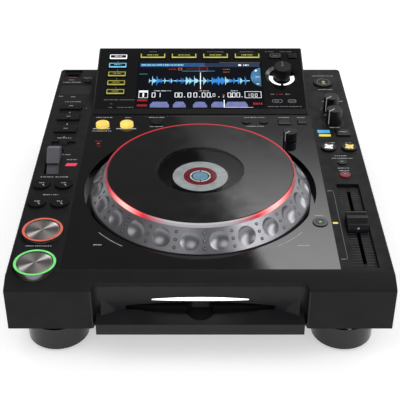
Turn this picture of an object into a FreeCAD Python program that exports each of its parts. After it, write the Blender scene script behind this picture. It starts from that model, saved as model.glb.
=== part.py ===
import FreeCAD, Part
import math
import os
from types import SimpleNamespace

import Sketcher
from FreeCAD import Placement, Rotation, Vector

# Tabletop disc and media player. Millimetres, +Z up, +X to the player's right, -Y towards the person using it.
# The origin is the centre of the footprint, on the surface that the four feet stand on.

OUTLINE = {
    "case_width": 320,
    "front_edge": -194.5,
    "rear_edge": 202.5,
    "lip_edge": -202.5,
    "deck_top": 79.5,
    "bevel_back": -178.7,
    "bevel_front_top": 73.2,
    "case_bottom": 33,
    "side_wall": 3,
    "top_wall": 4,
    "edge_soften": 2.5,
    "corner_soften": 4,
}

CHASSIS = {
    "tray_half_width": 146,
    "tray_front": -172,
    "tray_rear": 188,
    "tray_bottom": 25,
    "flange_bottom": 34,
    "flange_top": 36,
    "flange_half_width": 156.6,
    "sheet_metal": 2,
    "back_panel_half_width": 132,
    "back_panel_face": 192,
    "back_panel_top": 75.4,
    "foot_radius": 26.5,
    "foot_tread_radius": 22,
    "foot_tread_height": 3.5,
    "foot_across": 123.7,
    "foot_front": -161,
    "foot_rear": 150,
}

DECK = {
    "plate_half_width": 116,
    "plate_front": -174,
    "plate_rear": 92,
    "plate_thickness": 2,
    "plate_gap": 0.05,
    "ledge": 2.2,
    "well_radius": 108,
    "well_wall": 2.5,
    "well_floor": 70,
    "well_underside": 68,
    "jog_centre": -48,
}

SLOT = {
    "bezel_half_width": 90.4,
    "bezel_top": 72,
    "bezel_back": -176.3,
    "recess_half_width": 81.8,
    "recess_corner": 7,
    "lip_half_width": 86,
    "lip_top": 44.1,
    "slot_half_width": 62,
    "slot_low": 47,
    "slot_high": 52,
    "mouth_face": -184.7,
    "mouth_arch_top": 56,
    "ramp_bow": -191.4,
    "facet_top": 58.1,
    "facet_front": -193,
    "facet_low": 45.6,
    "notch_radius": 12,
    "notch_centre": -186,
    "light_half_width": 40,
    "light_end_low": 58.2,
    "light_end_high": 59,
    "light_mid_low": 57.3,
    "light_mid_high": 60.9,
    "light_back": -183.2,
    "light_face": -187.7,
}

JOG = {
    "dial_radius": 103,
    "dial_skirt_high": 77.5,
    "dial_slope_radius": 88.2,
    "dial_slope_top": 94.4,
    "rim_top": 97.6,
    "rim_bore": 86.1,
    "seat_radius": 82,
    "seat_top": 95.4,
    "dial_floor": 78,
    "dial_underside": 73,
    "hub_radius": 26.5,
    "hub_top": 86,
    "hub_bore": 22.05,
    "dimple_count": 24,
    "dimple_radius": 8.4,
    "dimple_floor_radius": 4.4,
    "dimple_depth": 2.5,
    "dimple_start_angle": 9.6,
    "top_plate_radius": 85.6,
    "top_plate_low": 95.9,
    "top_plate_high": 98.3,
    "window_bore": 40.5,
    "window_ledge_bore": 38.5,
    "window_ledge": 96.7,
    "window_radius": 40.45,
    "column_radius": 22,
    "column_head_radius": 27,
    "column_head_low": 86.8,
    "column_head_high": 91.1,
}

DISPLAY = {
    "display_tilt": 13.46,
    "display_front": 99,
    "display_front_height": 81.8,
    "display_step_front": 92.8,
    "display_step_height": 80.3,
    "display_length": 105.3,
    "display_half_width": 114.5,
    "display_rear": 202.3,
    "panel_half_width": 112.5,
    "panel_start": 1.5,
    "panel_end": 103.8,
    "panel_thickness": 2,
    "screen_left": -69.5,
    "screen_right": 68.5,
    "screen_start": 4,
    "screen_end": 80.5,
    "screen_drop": 0.5,
    "button_well": 5.8,
    "button_depth": 4.6,
    "dial_well_radius": 18.2,
    "dial_well_floor_radius": 14.6,
    "dial_well_depth": 4.4,
    "selector_across": 90,
    "selector_along": 57,
    "selector_radius": 9,
    "selector_height": 13,
    "selector_flutes": 12,
    "selector_skirt": 6.5,
    "selector_shaft": 3,
    "selector_bore": 3.05,
    "selector_socket": 3.6,
}

CONTROLS = {
    "button_gap": 0.35,
    "press_travel": 1,
    "flange_margin": 0.9,
    "round_flange_margin": 0.3,
    "flange_thickness": 1.2,
    "seat_gap": 0.05,
    "transport_radius": 17.9,
    "transport_cap_radius": 15,
    "transport_ring_top": 83,
    "transport_skirt_bottom": 70.6,
    "transport_cap_top": 82.4,
    "fader_across": 138,
    "fader_middle": -107.7,
    "fader_recess_half_width": 10.5,
    "fader_recess_half_length": 64.2,
    "fader_recess_floor": 76.5,
    "fader_slot_half_width": 1.6,
    "fader_slot_half_length": 55.4,
    "fader_cap_half_width": 9.2,
    "fader_cap_half_length": 10.8,
    "fader_cap_bottom": 77.2,
    "fader_cap_top": 86.6,
    "fader_ridge_half": 2.2,
    "fader_valley": 83.2,
    "fader_stem_bottom": 62,
    "lever_across": -143,
    "lever_pivot_along": -2.5,
    "lever_pivot_height": 58,
    "lever_tilt": 20,
    "lever_drum_radius": 20,
    "lever_drum_half_width": 6,
    "lever_base_half": 13,
    "lever_top_half": 6,
    "lever_width": 12.4,
    "lever_top_radius": 33,
    "lever_pin_radius": 2,
    "lever_slot_half_length": 23,
    "lever_slot_half_width": 7.3,
    "door_across": -138.5,
    "door_hinge_along": 161.5,
    "door_hinge_height": 78.3,
    "door_half_width": 17,
    "door_reach": 21,
    "door_tail": 1.2,
    "door_swing": 1.85,
    "door_thickness": 2,
    "door_pin_radius": 1,
    "door_pin_bore": 1.05,
    "card_bay_floor": 66,
    "stick_port_across": -145,
    "stick_port_along": 190.5,
    "stick_port_half_width": 6.6,
    "stick_port_half_depth": 3.1,
    "stick_port_floor": 64,
    "stick_well_half_width": 9.7,
    "stick_well_half_depth": 9,
    "stick_well_floor": 77.5,
}

# Round buttons: across, along, radius, rise above the face that they stand in.
PLATE_ROUND = {
    "loop_in_button": (-101.2, 68.6, 6.8, 3.2),
    "loop_out_button": (-76.2, 69.2, 6.8, 3.2),
    "reloop_button": (-45.5, 76.5, 6.3, 1),
    "call_back_button": (48, 76.8, 4.6, 1),
    "call_forward_button": (66.2, 76.8, 4.6, 1),
    "tempo_reset_button": (106, -106.5, 6.7, 0.8),
}
CASE_ROUND = {
    "usb_stop_button": (-127, 172, 4.4, 1),
    "track_back_button": (-148.5, -45, 8, 2),
    "track_forward_button": (-128, -45, 8, 2),
    "search_back_button": (-148.5, -76, 8, 2),
    "search_forward_button": (-128, -76, 8, 2),
    "jog_mode_button": (138, 167, 11, 1.6),
    "sync_button": (128, 23, 7.5, 2),
    "master_button": (148.5, 23, 7.5, 2),
    "tempo_range_button": (138, -5, 4.5, 1.2),
    "master_tempo_button": (138, -28, 5, 1.4),
}
TRANSPORT_ROUND = {
    "cue_button": (-137, -122),
    "play_button": (-137, -169),
}
# Rectangular buttons: across, along, half width, half length, rise.
PLATE_SQUARE = {
    "delete_button": (88, 76, 6.7, 5.4, 1),
    "memory_button": (106, 76, 4.5, 3.75, 1),
}
CASE_SQUARE = {
    "hot_cue_button_1": (-138.5, 109, 11.4, 5.9, 1.8),
    "hot_cue_button_2": (-138.5, 85.5, 11.4, 5.9, 1.8),
    "hot_cue_button_3": (-138.5, 59.5, 11.4, 5.9, 1.8),
    "record_button": (-138, 32, 4, 3.9, 0.4),
    "slip_button": (146, 53, 6.8, 6.4, 1.5),
}
PANEL_SQUARE = {
    "source_button_1": (-92, 88.75, 10.7, 4.9, 0.9),
    "source_button_2": (-92, 73.7, 10.7, 4.9, 0.9),
    "source_button_3": (-92, 58.6, 10.7, 4.9, 0.9),
    "source_button_4": (-92, 43.6, 10.7, 4.9, 0.9),
    "source_button_5": (-92, 28.75, 10.7, 4.9, 0.9),
    "menu_button_1": (-53.3, 91.2, 15, 5.4, 0.9),
    "menu_button_2": (-18.3, 91.2, 15, 5.4, 0.9),
    "menu_button_3": (17.1, 91.2, 15, 5.4, 0.9),
    "menu_button_4": (52.7, 91.2, 15, 5.4, 0.9),
    "back_button": (84.2, 90.8, 6.6, 4.1, 1.1),
    "tag_button": (103.5, 90.8, 4.7, 4, 1.1),
}
# Knobs on potentiometers: across, along, radius, height.
KNOBS = {
    "touch_knob": (139, 104, 7.8, 16),
    "release_knob": (139, 76, 7.8, 16),
    "jog_adjust_knob": (90.5, 40, 6.8, 10),
}
FIELDS = {
    "round": ("across", "along", "radius", "rise"),
    "transport": ("across", "along"),
    "square": ("across", "along", "half_width", "half_length", "rise"),
    "knob": ("across", "along", "radius", "height"),
}


class Size:
    """A number together with the spreadsheet expression that gives it."""

    def __init__(self, value, text):
        self.value = float(value)
        self.text = text

    def __add__(self, other):
        other = as_size(other)
        return Size(self.value + other.value, f"({self.text} + {other.text})")

    def __radd__(self, other):
        return as_size(other) + self

    def __sub__(self, other):
        other = as_size(other)
        return Size(self.value - other.value, f"({self.text} - {other.text})")

    def __rsub__(self, other):
        return as_size(other) - self

    def __mul__(self, other):
        other = as_size(other)
        return Size(self.value * other.value, f"({self.text} * {other.text})")

    def __rmul__(self, other):
        return as_size(other) * self

    def __truediv__(self, other):
        other = as_size(other)
        return Size(self.value / other.value, f"({self.text} / {other.text})")

    def __neg__(self):
        return Size(-self.value, f"(0 - {self.text})")

    def __float__(self):
        return self.value


def as_size(number):
    """A Size as it is, or a plain number as a Size."""
    if isinstance(number, Size):
        return number
    return Size(number, f"({float(number):.10g})")


def control_sizes():
    """Names and numbers of every control's place and size."""
    groups = [
        (PLATE_ROUND, "round"),
        (CASE_ROUND, "round"),
        (TRANSPORT_ROUND, "transport"),
        (PLATE_SQUARE, "square"),
        (CASE_SQUARE, "square"),
        (PANEL_SQUARE, "square"),
        (KNOBS, "knob"),
    ]
    values = {}
    for table, kind in groups:
        for name, numbers in table.items():
            for field, number in zip(FIELDS[kind], numbers):
                values[f"{name}_{field}"] = number
    return values


def write_sheet(document):
    """The driving dimensions as spreadsheet cells, and the same names as Sizes."""
    sheet = document.addObject("Spreadsheet::Sheet", "Sizes")
    values = {}
    for group in (OUTLINE, CHASSIS, DECK, SLOT, JOG, DISPLAY, CONTROLS, control_sizes()):
        values.update(group)
    for row, (name, value) in enumerate(values.items(), start=1):
        sheet.set(f"A{row}", name)
        sheet.set(f"B{row}", str(value))
        sheet.setAlias(f"B{row}", name)
    document.recompute()
    return SimpleNamespace(**{name: Size(value, f"Sizes.{name}") for name, value in values.items()})


doc = FreeCAD.newDocument("player")
S = write_sheet(doc)
nodes = []


def bind(item, prop, size):
    """Sets a property from the sheet."""
    item.setExpression(prop, as_size(size).text)


def put(item, x=0, y=0, z=0):
    """Binds an object's position."""
    for axis, size in zip("xyz", (x, y, z)):
        bind(item, f"Placement.Base.{axis}", size)
    return item


def box(x, y, z):
    """A block between the low and high ends given for each axis."""
    item = doc.addObject("Part::Box", "block")
    for prop, (low, high) in zip(("Length", "Width", "Height"), (x, y, z)):
        bind(item, prop, as_size(high) - low)
    return put(item, x[0], y[0], z[0])


def slab(half_width, y, z, x=0):
    """A block centred across."""
    x = as_size(x)
    return box((x - half_width, x + half_width), y, z)


def rod(x, y, z, radius):
    """An upright cylinder between two heights."""
    item = doc.addObject("Part::Cylinder", "rod")
    bind(item, "Radius", radius)
    bind(item, "Height", as_size(z[1]) - z[0])
    return put(item, x, y, z[0])


def cone(x, y, z, low_radius, high_radius):
    """An upright cone between two heights."""
    item = doc.addObject("Part::Cone", "cone")
    bind(item, "Radius1", low_radius)
    bind(item, "Radius2", high_radius)
    bind(item, "Height", as_size(z[1]) - z[0])
    return put(item, x, y, z[0])


def cross_rod(x, y, z, radius):
    """A cylinder that lies across, between two X ends."""
    item = doc.addObject("Part::Cylinder", "cross_rod")
    item.Placement.Rotation = Rotation(Vector(0, 1, 0), 90)
    bind(item, "Radius", radius)
    bind(item, "Height", as_size(x[1]) - x[0])
    return put(item, x[0], y, z)


def rear_rod(x, y, z, radius):
    """A cylinder that points to the rear, between two Y ends."""
    item = doc.addObject("Part::Cylinder", "rear_rod")
    item.Placement.Rotation = Rotation(Vector(1, 0, 0), -90)
    bind(item, "Radius", radius)
    bind(item, "Height", as_size(y[1]) - y[0])
    return put(item, x, y[0], z)


def fuse(*shapes):
    """One solid made of several that touch or overlap."""
    item = doc.addObject("Part::MultiFuse", "joined")
    item.Shapes = list(shapes)
    item.Refine = True
    return item


def common(first, second):
    """What two solids share."""
    item = doc.addObject("Part::MultiCommon", "shared")
    item.Shapes = [first, second]
    return item


def group(*shapes):
    """Several separate solids as one object."""
    item = doc.addObject("Part::Compound", "set")
    item.Links = list(shapes)
    return item


def cut(base, *tools):
    """A solid with tools taken away."""
    item = doc.addObject("Part::Cut", "cut")
    item.Base = base
    item.Tool = tools[0] if len(tools) == 1 else fuse(*tools)
    item.Refine = True
    return item


def origin_item(body, role):
    """A plane or axis of a body's own origin."""
    return next(item for item in body.Origin.OriginFeatures if item.Role == role)


def sketch(body, role, points, arcs=()):
    """A closed outline of named corners. A side listed in arcs bends through its own point."""
    item = body.newObject("Sketcher::SketchObject", "outline")
    item.AttachmentSupport = [(origin_item(body, role), "")]
    item.MapMode = "FlatFace"
    arcs = dict(arcs)
    corners = [(as_size(a), as_size(b)) for a, b in points]
    count = len(corners)
    flat = [Vector(float(a), float(b), 0) for a, b in corners]
    for side in range(count):
        start, end = flat[side], flat[(side + 1) % count]
        if side in arcs:
            middle = Vector(float(arcs[side][0]), float(arcs[side][1]), 0)
            arc = Part.Arc(start, middle, end)
            item.addGeometry(arc, False)
        else:
            item.addGeometry(Part.LineSegment(start, end), False)
    for side in range(count):
        start_end = side_start(item, side, flat[side])
        far_end = 3 - start_end
        after = (side + 1) % count
        next_start = side_start(item, after, flat[after])
        item.addConstraint(Sketcher.Constraint("Coincident", side, far_end, after, next_start))
    for side, (a, b) in enumerate(corners):
        start_end = side_start(item, side, flat[side])
        across = item.addConstraint(
            Sketcher.Constraint("DistanceX", -1, 1, side, start_end, a.value)
        )
        along = item.addConstraint(
            Sketcher.Constraint("DistanceY", -1, 1, side, start_end, b.value)
        )
        item.setExpression(f"Constraints[{across}]", a.text)
        item.setExpression(f"Constraints[{along}]", b.text)
    return item


def side_start(item, side, corner):
    """Which end of a sketched side lies on a corner: 1 or 2."""
    first = item.getPoint(side, 1)
    second = item.getPoint(side, 2)
    return 1 if (first - corner).Length <= (second - corner).Length else 2


def pad(role, points, length, arcs=()):
    """A body padded evenly to both sides of a plane."""
    body = doc.addObject("PartDesign::Body", "body")
    feature_sketch = sketch(body, role, points, arcs)
    feature = body.newObject("PartDesign::Pad", "pad")
    feature.Profile = feature_sketch
    feature.SideType = "Symmetric"
    bind(feature, "Length", length)
    doc.recompute()
    return body


def pocket(body, role, points, length, arcs=()):
    """Cuts an outline out of a body, evenly to both sides of a plane."""
    before = body.Shape.Volume
    feature_sketch = sketch(body, role, points, arcs)
    feature = body.newObject("PartDesign::Pocket", "pocket")
    feature.Profile = feature_sketch
    feature.SideType = "Symmetric"
    bind(feature, "Length", length)
    doc.recompute()
    if body.Shape.Volume > before - 1:
        raise RuntimeError("the pocket cut nothing")
    return body


def revolve(points, arcs=()):
    """A body of revolution about Z, from an outline of radius and height."""
    body = doc.addObject("PartDesign::Body", "body")
    feature_sketch = sketch(body, "XZ_Plane", points, arcs)
    feature = body.newObject("PartDesign::Revolution", "revolution")
    feature.Profile = feature_sketch
    feature.ReferenceAxis = (origin_item(body, "Z_Axis"), [""])
    feature.Angle = 360
    doc.recompute()
    return body


def soften(body, kind, size, keep):
    """Rounds or chamfers the edges of a body that keep accepts."""
    tip = body.Tip
    names = [f"Edge{i}" for i, edge in enumerate(tip.Shape.Edges, start=1) if keep(edge.CenterOfMass)]
    if not names:
        raise RuntimeError("no edge to soften")
    feature = body.newObject(f"PartDesign::{kind}", "soft_edge")
    feature.Base = (tip, names)
    bind(feature, "Radius" if kind == "Fillet" else "Size", size)
    doc.recompute()
    return body


def node(name, item):
    """Keeps an object as a piece of the player under its own name."""
    item.Label = name
    nodes.append(item)
    return item


def on_display(item):
    """Lays an object made flat onto the display's slope."""
    item = group(item)
    item.Placement.Rotation = Rotation(Vector(1, 0, 0), DISPLAY["display_tilt"])
    bind(item, "Placement.Rotation.Angle", S.display_tilt)
    return put(item, 0, S.display_front, S.display_front_height)


def named(name, field):
    """The Size of one control's field."""
    return getattr(S, f"{name}_{field}")


def round_hole(name, z, gap):
    """The hole that a round control passes through."""
    return rod(named(name, "across"), named(name, "along"), z, named(name, "radius") + gap)


def square_hole(name, z, gap):
    """The hole that a rectangular control passes through."""
    x, y = named(name, "across"), named(name, "along")
    wide, deep = named(name, "half_width") + gap, named(name, "half_length") + gap
    return box((x - wide, x + wide), (y - deep, y + deep), z)


def chassis():
    """Sheet-metal tray with a flange that closes the case, and the upright socket panel."""
    metal = S.sheet_metal
    tray = slab(S.tray_half_width, (S.tray_front, S.tray_rear), (S.tray_bottom, S.flange_bottom))
    flange = slab(S.flange_half_width, (S.tray_front, 199), (S.flange_bottom, S.flange_top))
    hollow = slab(
        S.tray_half_width - metal,
        (S.tray_front + metal, S.tray_rear - metal),
        (S.tray_bottom + metal, S.flange_top + 1),
    )
    panel_y = (S.back_panel_face - metal, S.back_panel_face)
    panel = slab(S.back_panel_half_width, panel_y, (S.flange_top, S.back_panel_top))
    openings = []
    for low_x, high_x, low_z, high_z in SOCKET_OPENINGS:
        openings.append(box((low_x, high_x), (panel_y[0] - 1, panel_y[1] + 1), (low_z, high_z)))
    for x in RCA_PLACES:
        openings.append(rear_rod(x, (panel_y[0] - 1, panel_y[1] + 1), RCA_HEIGHT, RCA_RADIUS + 0.5))
    openings.append(rear_rod(JACK_PLACE, (panel_y[0] - 1, panel_y[1] + 1), RCA_HEIGHT, JACK_RADIUS + 0.3))
    vents = []
    for row in range(6):
        y = -60 + row * 14
        vents.append(slab(30, (y, y + 5), (S.tray_bottom - 1, S.tray_bottom + metal + 1)))
    node("lower_case", cut(fuse(cut(fuse(tray, flange), hollow), panel), *openings, *vents))


# Rear sockets, as low and high X and Z of the cut-outs in the panel.
INLET = (88, 116, 44, 64)
SWITCH = (62, 78, 45, 63)
NETWORK = (6, 22, 48, 62)
COMPUTER = (-18, -6, 48, 59)
SOCKET_OPENINGS = (INLET, SWITCH, NETWORK, COMPUTER)
RCA_PLACES = (-112, -94, -76)
RCA_HEIGHT = 55
RCA_RADIUS = 4.15
JACK_PLACE = -48
JACK_RADIUS = 3.2


def socket_shell(opening, wall, depth, rear):
    """A box-shaped socket, open to the rear."""
    low_x, high_x, low_z, high_z = opening
    gap = 0.2
    outer = box((low_x + gap, high_x - gap), (rear - depth, rear), (low_z + gap, high_z - gap))
    inner = box(
        (low_x + gap + wall, high_x - gap - wall),
        (rear - depth + wall, rear + 1),
        (low_z + gap + wall, high_z - gap - wall),
    )
    return cut(outer, inner)


def circuit_boards():
    """The main board, the power board and the sockets that stand on them."""
    rear = CHASSIS["back_panel_face"] + 0.5
    board = box((-128, 34), (70, 186), (38, 39.6))
    power_board = box((50, 128), (70, 186), (38, 39.6))
    transformer = box((62, 100), (96, 130), (39.6, 62))
    processor = box((-60, -32), (110, 138), (39.6, 42))
    stands = []
    for low_x, high_x, low_z, high_z in (INLET, NETWORK, COMPUTER):
        stands.append(box((low_x + 2, high_x - 2), (172, 180), (39.6, low_z + 0.2)))
    phono = []
    for x in RCA_PLACES:
        barrel = cut(
            rear_rod(x, (189.8, 200.5), RCA_HEIGHT, RCA_RADIUS),
            rear_rod(x, (192, 201), RCA_HEIGHT, 1.7),
        )
        phono.append(fuse(box((x - 6, x + 6), (176, 189.8), (39.6, RCA_HEIGHT + 6)), barrel))
    jack = fuse(
        box((JACK_PLACE - 5, JACK_PLACE + 5), (178, 189.8), (39.6, RCA_HEIGHT + 5)),
        cut(
            rear_rod(JACK_PLACE, (189.8, 193.5), RCA_HEIGHT, JACK_RADIUS),
            rear_rod(JACK_PLACE, (190.5, 194), RCA_HEIGHT, 1.75),
        ),
    )
    shells = [
        fuse(socket_shell(INLET, 1.6, 20, rear), stands[0]),
        fuse(socket_shell(NETWORK, 1.2, 20, rear), stands[1]),
        fuse(socket_shell(COMPUTER, 1, 16, rear), box((-16, -8), (176.7, 180), (39.6, 48.3))),
    ]
    node("circuit_boards", group(board, power_board, transformer, processor, *phono, jack, *shells))


def upper_case():
    """Moulded top shell: deck, sloped front edge, blocks beside the slot, and every opening in it."""
    wall, top = S.side_wall, S.deck_top - S.top_wall
    shell = pad(
        "YZ_Plane",
        [
            (S.rear_edge, S.case_bottom),
            (S.rear_edge, S.deck_top),
            (S.bevel_back, S.deck_top),
            (S.front_edge, S.bevel_front_top),
            (S.front_edge, S.case_bottom),
        ],
        S.case_width,
    )
    rear, front = OUTLINE["rear_edge"], OUTLINE["front_edge"]
    half, deck = OUTLINE["case_width"] / 2, OUTLINE["deck_top"]
    soften(shell, "Fillet", S.corner_soften, lambda p: abs(p.y - rear) < 0.01 and abs(abs(p.x) - half) < 0.01)
    soften(shell, "Fillet", S.edge_soften, lambda p: abs(p.y - front) < 0.01 and p.z > 70 and abs(p.x) < 1)
    soften(shell, "Chamfer", 1, lambda p: p.z > deck - 0.01 and abs(abs(p.x) - half) < 0.01)
    pocket(
        shell,
        "YZ_Plane",
        [
            (S.rear_edge - wall, S.case_bottom - 2),
            (S.rear_edge - wall, top),
            (S.bevel_back + 0.5, top),
            (S.front_edge + wall, top - 5.2),
            (S.front_edge + wall, S.case_bottom - 2),
        ],
        S.case_width - wall * 2,
    )
    bay = box((-157, -119.5), (137, 166), (S.card_bay_floor - 2, top + 0.5))
    port = box((-154, -136), (184, 197), (S.stick_port_floor - 2, top + 0.5))
    fader_pan = slab(12.5, (-175, -40), (73.5, top + 0.5), S.fader_across)
    base = fuse(shell, bay, port, fader_pan)

    through = (S.deck_top - 8, S.deck_top + 3)
    gap = S.button_gap
    tools = [
        slab(
            S.plate_half_width - S.ledge,
            (S.plate_front + S.ledge, S.plate_rear - S.ledge),
            through,
        ),
        slab(
            S.plate_half_width + S.plate_gap,
            (S.plate_front - S.plate_gap, S.plate_rear + S.plate_gap),
            (S.deck_top - S.plate_thickness, S.deck_top + 3),
        ),
        slab(S.bezel_half_width + 0.1, (S.front_edge - 5, S.bezel_back), (S.case_bottom - 3, S.bezel_top + 0.1)),
        recess(),
        slab(S.back_panel_half_width - 2, (S.rear_edge - 5, S.rear_edge + 1), (38, 73)),
        slab(
            S.fader_recess_half_width,
            (S.fader_middle - S.fader_recess_half_length, S.fader_middle + S.fader_recess_half_length),
            (S.fader_recess_floor, S.deck_top + 1),
            S.fader_across,
        ),
        slab(
            S.fader_slot_half_width,
            (S.fader_middle - S.fader_slot_half_length, S.fader_middle + S.fader_slot_half_length),
            (70, S.deck_top),
            S.fader_across,
        ),
        slab(
            S.lever_slot_half_width,
            (S.lever_pivot_along - S.lever_slot_half_length, S.lever_pivot_along + S.lever_slot_half_length),
            through,
            S.lever_across,
        ),
        slab(12, (27.9, 36.1), (S.deck_top - 1.5, S.deck_top + 1), S.record_button_across),
    ]
    tools += [round_hole(name, through, gap) for name in CASE_ROUND]
    tools += [square_hole(name, through, gap) for name in CASE_SQUARE]
    for name in TRANSPORT_ROUND:
        tools.append(rod(named(name, "across"), named(name, "along"), (60, 90), S.transport_radius + 0.4))
    for name in ("touch_knob", "release_knob"):
        tools.append(rod(named(name, "across"), named(name, "along"), through, 3.5))
    tools += card_bay_tools() + stick_port_tools()
    node("upper_case", cut(base, *tools))


def recess():
    """The space in front of the slot: a flat floor with hollow-rounded side walls."""
    back = S.front_edge + S.recess_corner
    tools = [
        slab(S.recess_half_width, (S.front_edge - 10, back), (30, 90)),
        slab(S.recess_half_width + S.recess_corner, (S.front_edge - 10, S.front_edge), (30, 90)),
    ]
    for side in (-1, 1):
        tools.append(rod(S.recess_half_width * side, S.front_edge, (30, 90), S.recess_corner))
    return fuse(*tools)


def card_bay_tools():
    """The space that the card door closes, with its pin holes and the hollow that its tail swings in."""
    x, y = S.door_across, S.door_hinge_along
    swing = S.door_swing
    half = S.door_half_width + 0.35
    return [
        box((x - half, x + half), (y - S.door_reach - 0.35, y + swing), (S.door_hinge_height - 1.1, 90)),
        box((x - half + 1, x + half - 1), (y - S.door_reach + 0.8, y + swing), (S.card_bay_floor, 80)),
        box((x - half, x + half), (y - swing, y + swing), (S.door_hinge_height - swing, 90)),
        cross_rod((x - half - 1.6, x + half + 1.6), y, S.door_hinge_height, S.door_pin_bore),
    ]


def stick_port_tools():
    """The shallow well and the upright port for a memory stick."""
    x, y = S.stick_port_across, S.stick_port_along
    return [
        slab(S.stick_well_half_width, (y - S.stick_well_half_depth, y + S.stick_well_half_depth),
             (S.stick_well_floor, 90), x),
        slab(S.stick_port_half_width, (y - S.stick_port_half_depth, y + S.stick_port_half_depth),
             (S.stick_port_floor, 90), x),
    ]


def deck_plate():
    """Glossy plate with the dished well that the jog dial turns in."""
    low = S.deck_top - S.plate_thickness
    sheet = slab(S.plate_half_width, (S.plate_front, S.plate_rear), (low, S.deck_top))
    cup = rod(0, S.jog_centre, (S.well_underside, S.deck_top), S.well_radius + S.well_wall)
    tools = [rod(0, S.jog_centre, (S.well_floor, S.deck_top + 5), S.well_radius)]
    through = (S.deck_top - 6, S.deck_top + 3)
    tools += [round_hole(name, through, S.button_gap) for name in PLATE_ROUND]
    tools += [square_hole(name, through, S.button_gap) for name in PLATE_SQUARE]
    tools.append(rod(S.jog_adjust_knob_across, S.jog_adjust_knob_along, through, 3.5))
    node("deck_plate", cut(fuse(sheet, cup), *tools))


def slot_bezel():
    """Moulded front piece: the funnel, the ramp with its finger notch, and the lip below the slot."""
    block = slab(S.bezel_half_width, (S.front_edge, S.bezel_back), (S.case_bottom + 0.3, S.bezel_top))
    face = cut(block, recess())
    ramp = pad(
        "YZ_Plane",
        [
            (S.lip_edge, S.case_bottom + 0.3),
            (S.lip_edge, S.lip_top),
            (S.mouth_face, S.slot_low),
            (S.bezel_back, S.slot_low),
            (S.bezel_back, S.case_bottom + 0.3),
        ],
        S.lip_half_width * 2,
    )
    sides = []
    for side in (-1, 1):
        sides.append(facet(side))
    mouth = pad_between(
        "XZ_Plane",
        [
            (-S.slot_half_width, S.slot_low),
            (S.slot_half_width, S.slot_low),
            (S.slot_half_width, S.slot_high),
            (-S.slot_half_width, S.slot_high),
        ],
        {2: (as_size(0), S.mouth_arch_top)},
        (S.front_edge - 12, S.mouth_face + 4),
    )
    slot = slab(S.slot_half_width, (-190, S.bezel_back + 1), (S.slot_low, S.slot_high))
    trough = plan_prism(
        [
            (-S.slot_half_width, S.mouth_face + 3),
            (-S.slot_half_width, S.mouth_face),
            (S.slot_half_width, S.mouth_face),
            (S.slot_half_width, S.mouth_face + 3),
        ],
        {1: (as_size(0), S.ramp_bow)},
        (S.slot_low - 5, S.slot_high),
    )
    notch = rod(0, S.notch_centre, (S.slot_low - 7, S.slot_high), S.notch_radius)
    body = fuse(face, ramp, *sides)
    node("slot_bezel", cut(body, mouth, slot, trough, notch, light_strip(0)))


def facet(side):
    """The sloped side wall of the funnel, lofted from the recess's edge to the slot's end."""
    body = doc.addObject("PartDesign::Body", "facet")
    sections = [
        (S.recess_half_width + 0.5, [
            (S.front_edge + S.recess_corner, S.facet_top),
            (S.facet_front, S.facet_low),
            (S.bezel_back, S.facet_low),
            (S.bezel_back, S.facet_top),
        ]),
        (S.slot_half_width, [
            (S.mouth_face, S.slot_high),
            (S.mouth_face, S.slot_low),
            (S.bezel_back, S.slot_low),
            (S.bezel_back, S.slot_high),
        ]),
    ]
    outlines = []
    for distance, points in sections:
        item = sketch(body, "YZ_Plane", points)
        bind(item, "AttachmentOffset.Base.z", distance * side)
        outlines.append(item)
    doc.recompute()
    feature = body.newObject("PartDesign::AdditiveLoft", "loft")
    feature.Profile = outlines[0]
    feature.Sections = [outlines[1]]
    feature.Ruled = True
    doc.recompute()
    return body


def pad_between(role, points, arcs, ends):
    """A body padded one way from a front-facing outline, between two Y ends."""
    body = doc.addObject("PartDesign::Body", "body")
    feature_sketch = sketch(body, role, points, arcs)
    bind(feature_sketch, "AttachmentOffset.Base.z", -as_size(ends[1]))
    feature = body.newObject("PartDesign::Pad", "pad")
    feature.Profile = feature_sketch
    bind(feature, "Length", as_size(ends[1]) - ends[0])
    doc.recompute()
    return body


def plan_prism(points, arcs, heights):
    """A body padded upwards from a plan outline, between two heights."""
    body = doc.addObject("PartDesign::Body", "body")
    feature_sketch = sketch(body, "XY_Plane", points, arcs)
    bind(feature_sketch, "AttachmentOffset.Base.z", heights[0])
    feature = body.newObject("PartDesign::Pad", "pad")
    feature.Profile = feature_sketch
    bind(feature, "Length", as_size(heights[1]) - heights[0])
    doc.recompute()
    return body


def light_strip(gap):
    """The lens-shaped light guide above the slot."""
    half = S.light_half_width + gap
    return pad_between(
        "XZ_Plane",
        [
            (-half, S.light_end_low),
            (half, S.light_end_low),
            (half, S.light_end_high),
            (-half, S.light_end_high),
        ],
        {0: (as_size(0), S.light_mid_low), 2: (as_size(0), S.light_mid_high)},
        (S.light_face, S.light_back),
    )


def feet():
    """Four turned feet with a rounded tread."""
    solids = []
    for x in (-S.foot_across, S.foot_across):
        for y in (S.foot_front, S.foot_rear):
            foot = revolve(
                [
                    (0, 0),
                    (S.foot_tread_radius, 0),
                    (S.foot_radius, S.foot_tread_height),
                    (S.foot_radius, S.tray_bottom),
                    (0, S.tray_bottom),
                ]
            )
            solids.append(put(foot, x, y))
    node("feet", group(*solids))


def disc_drive():
    """Slot-in drive unit with the gap that the disc travels into."""
    case = slab(74, (-175.5, -40), (40, 62))
    gap = slab(S.slot_half_width, (-177, -47), (S.slot_low, S.slot_high))
    hub = rod(0, -110, (43, S.slot_low - 0.2), 8)
    well = rod(0, -110, (43, S.slot_low + 1), 11)
    node("disc_drive", fuse(cut(case, gap, well), hub))


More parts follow.
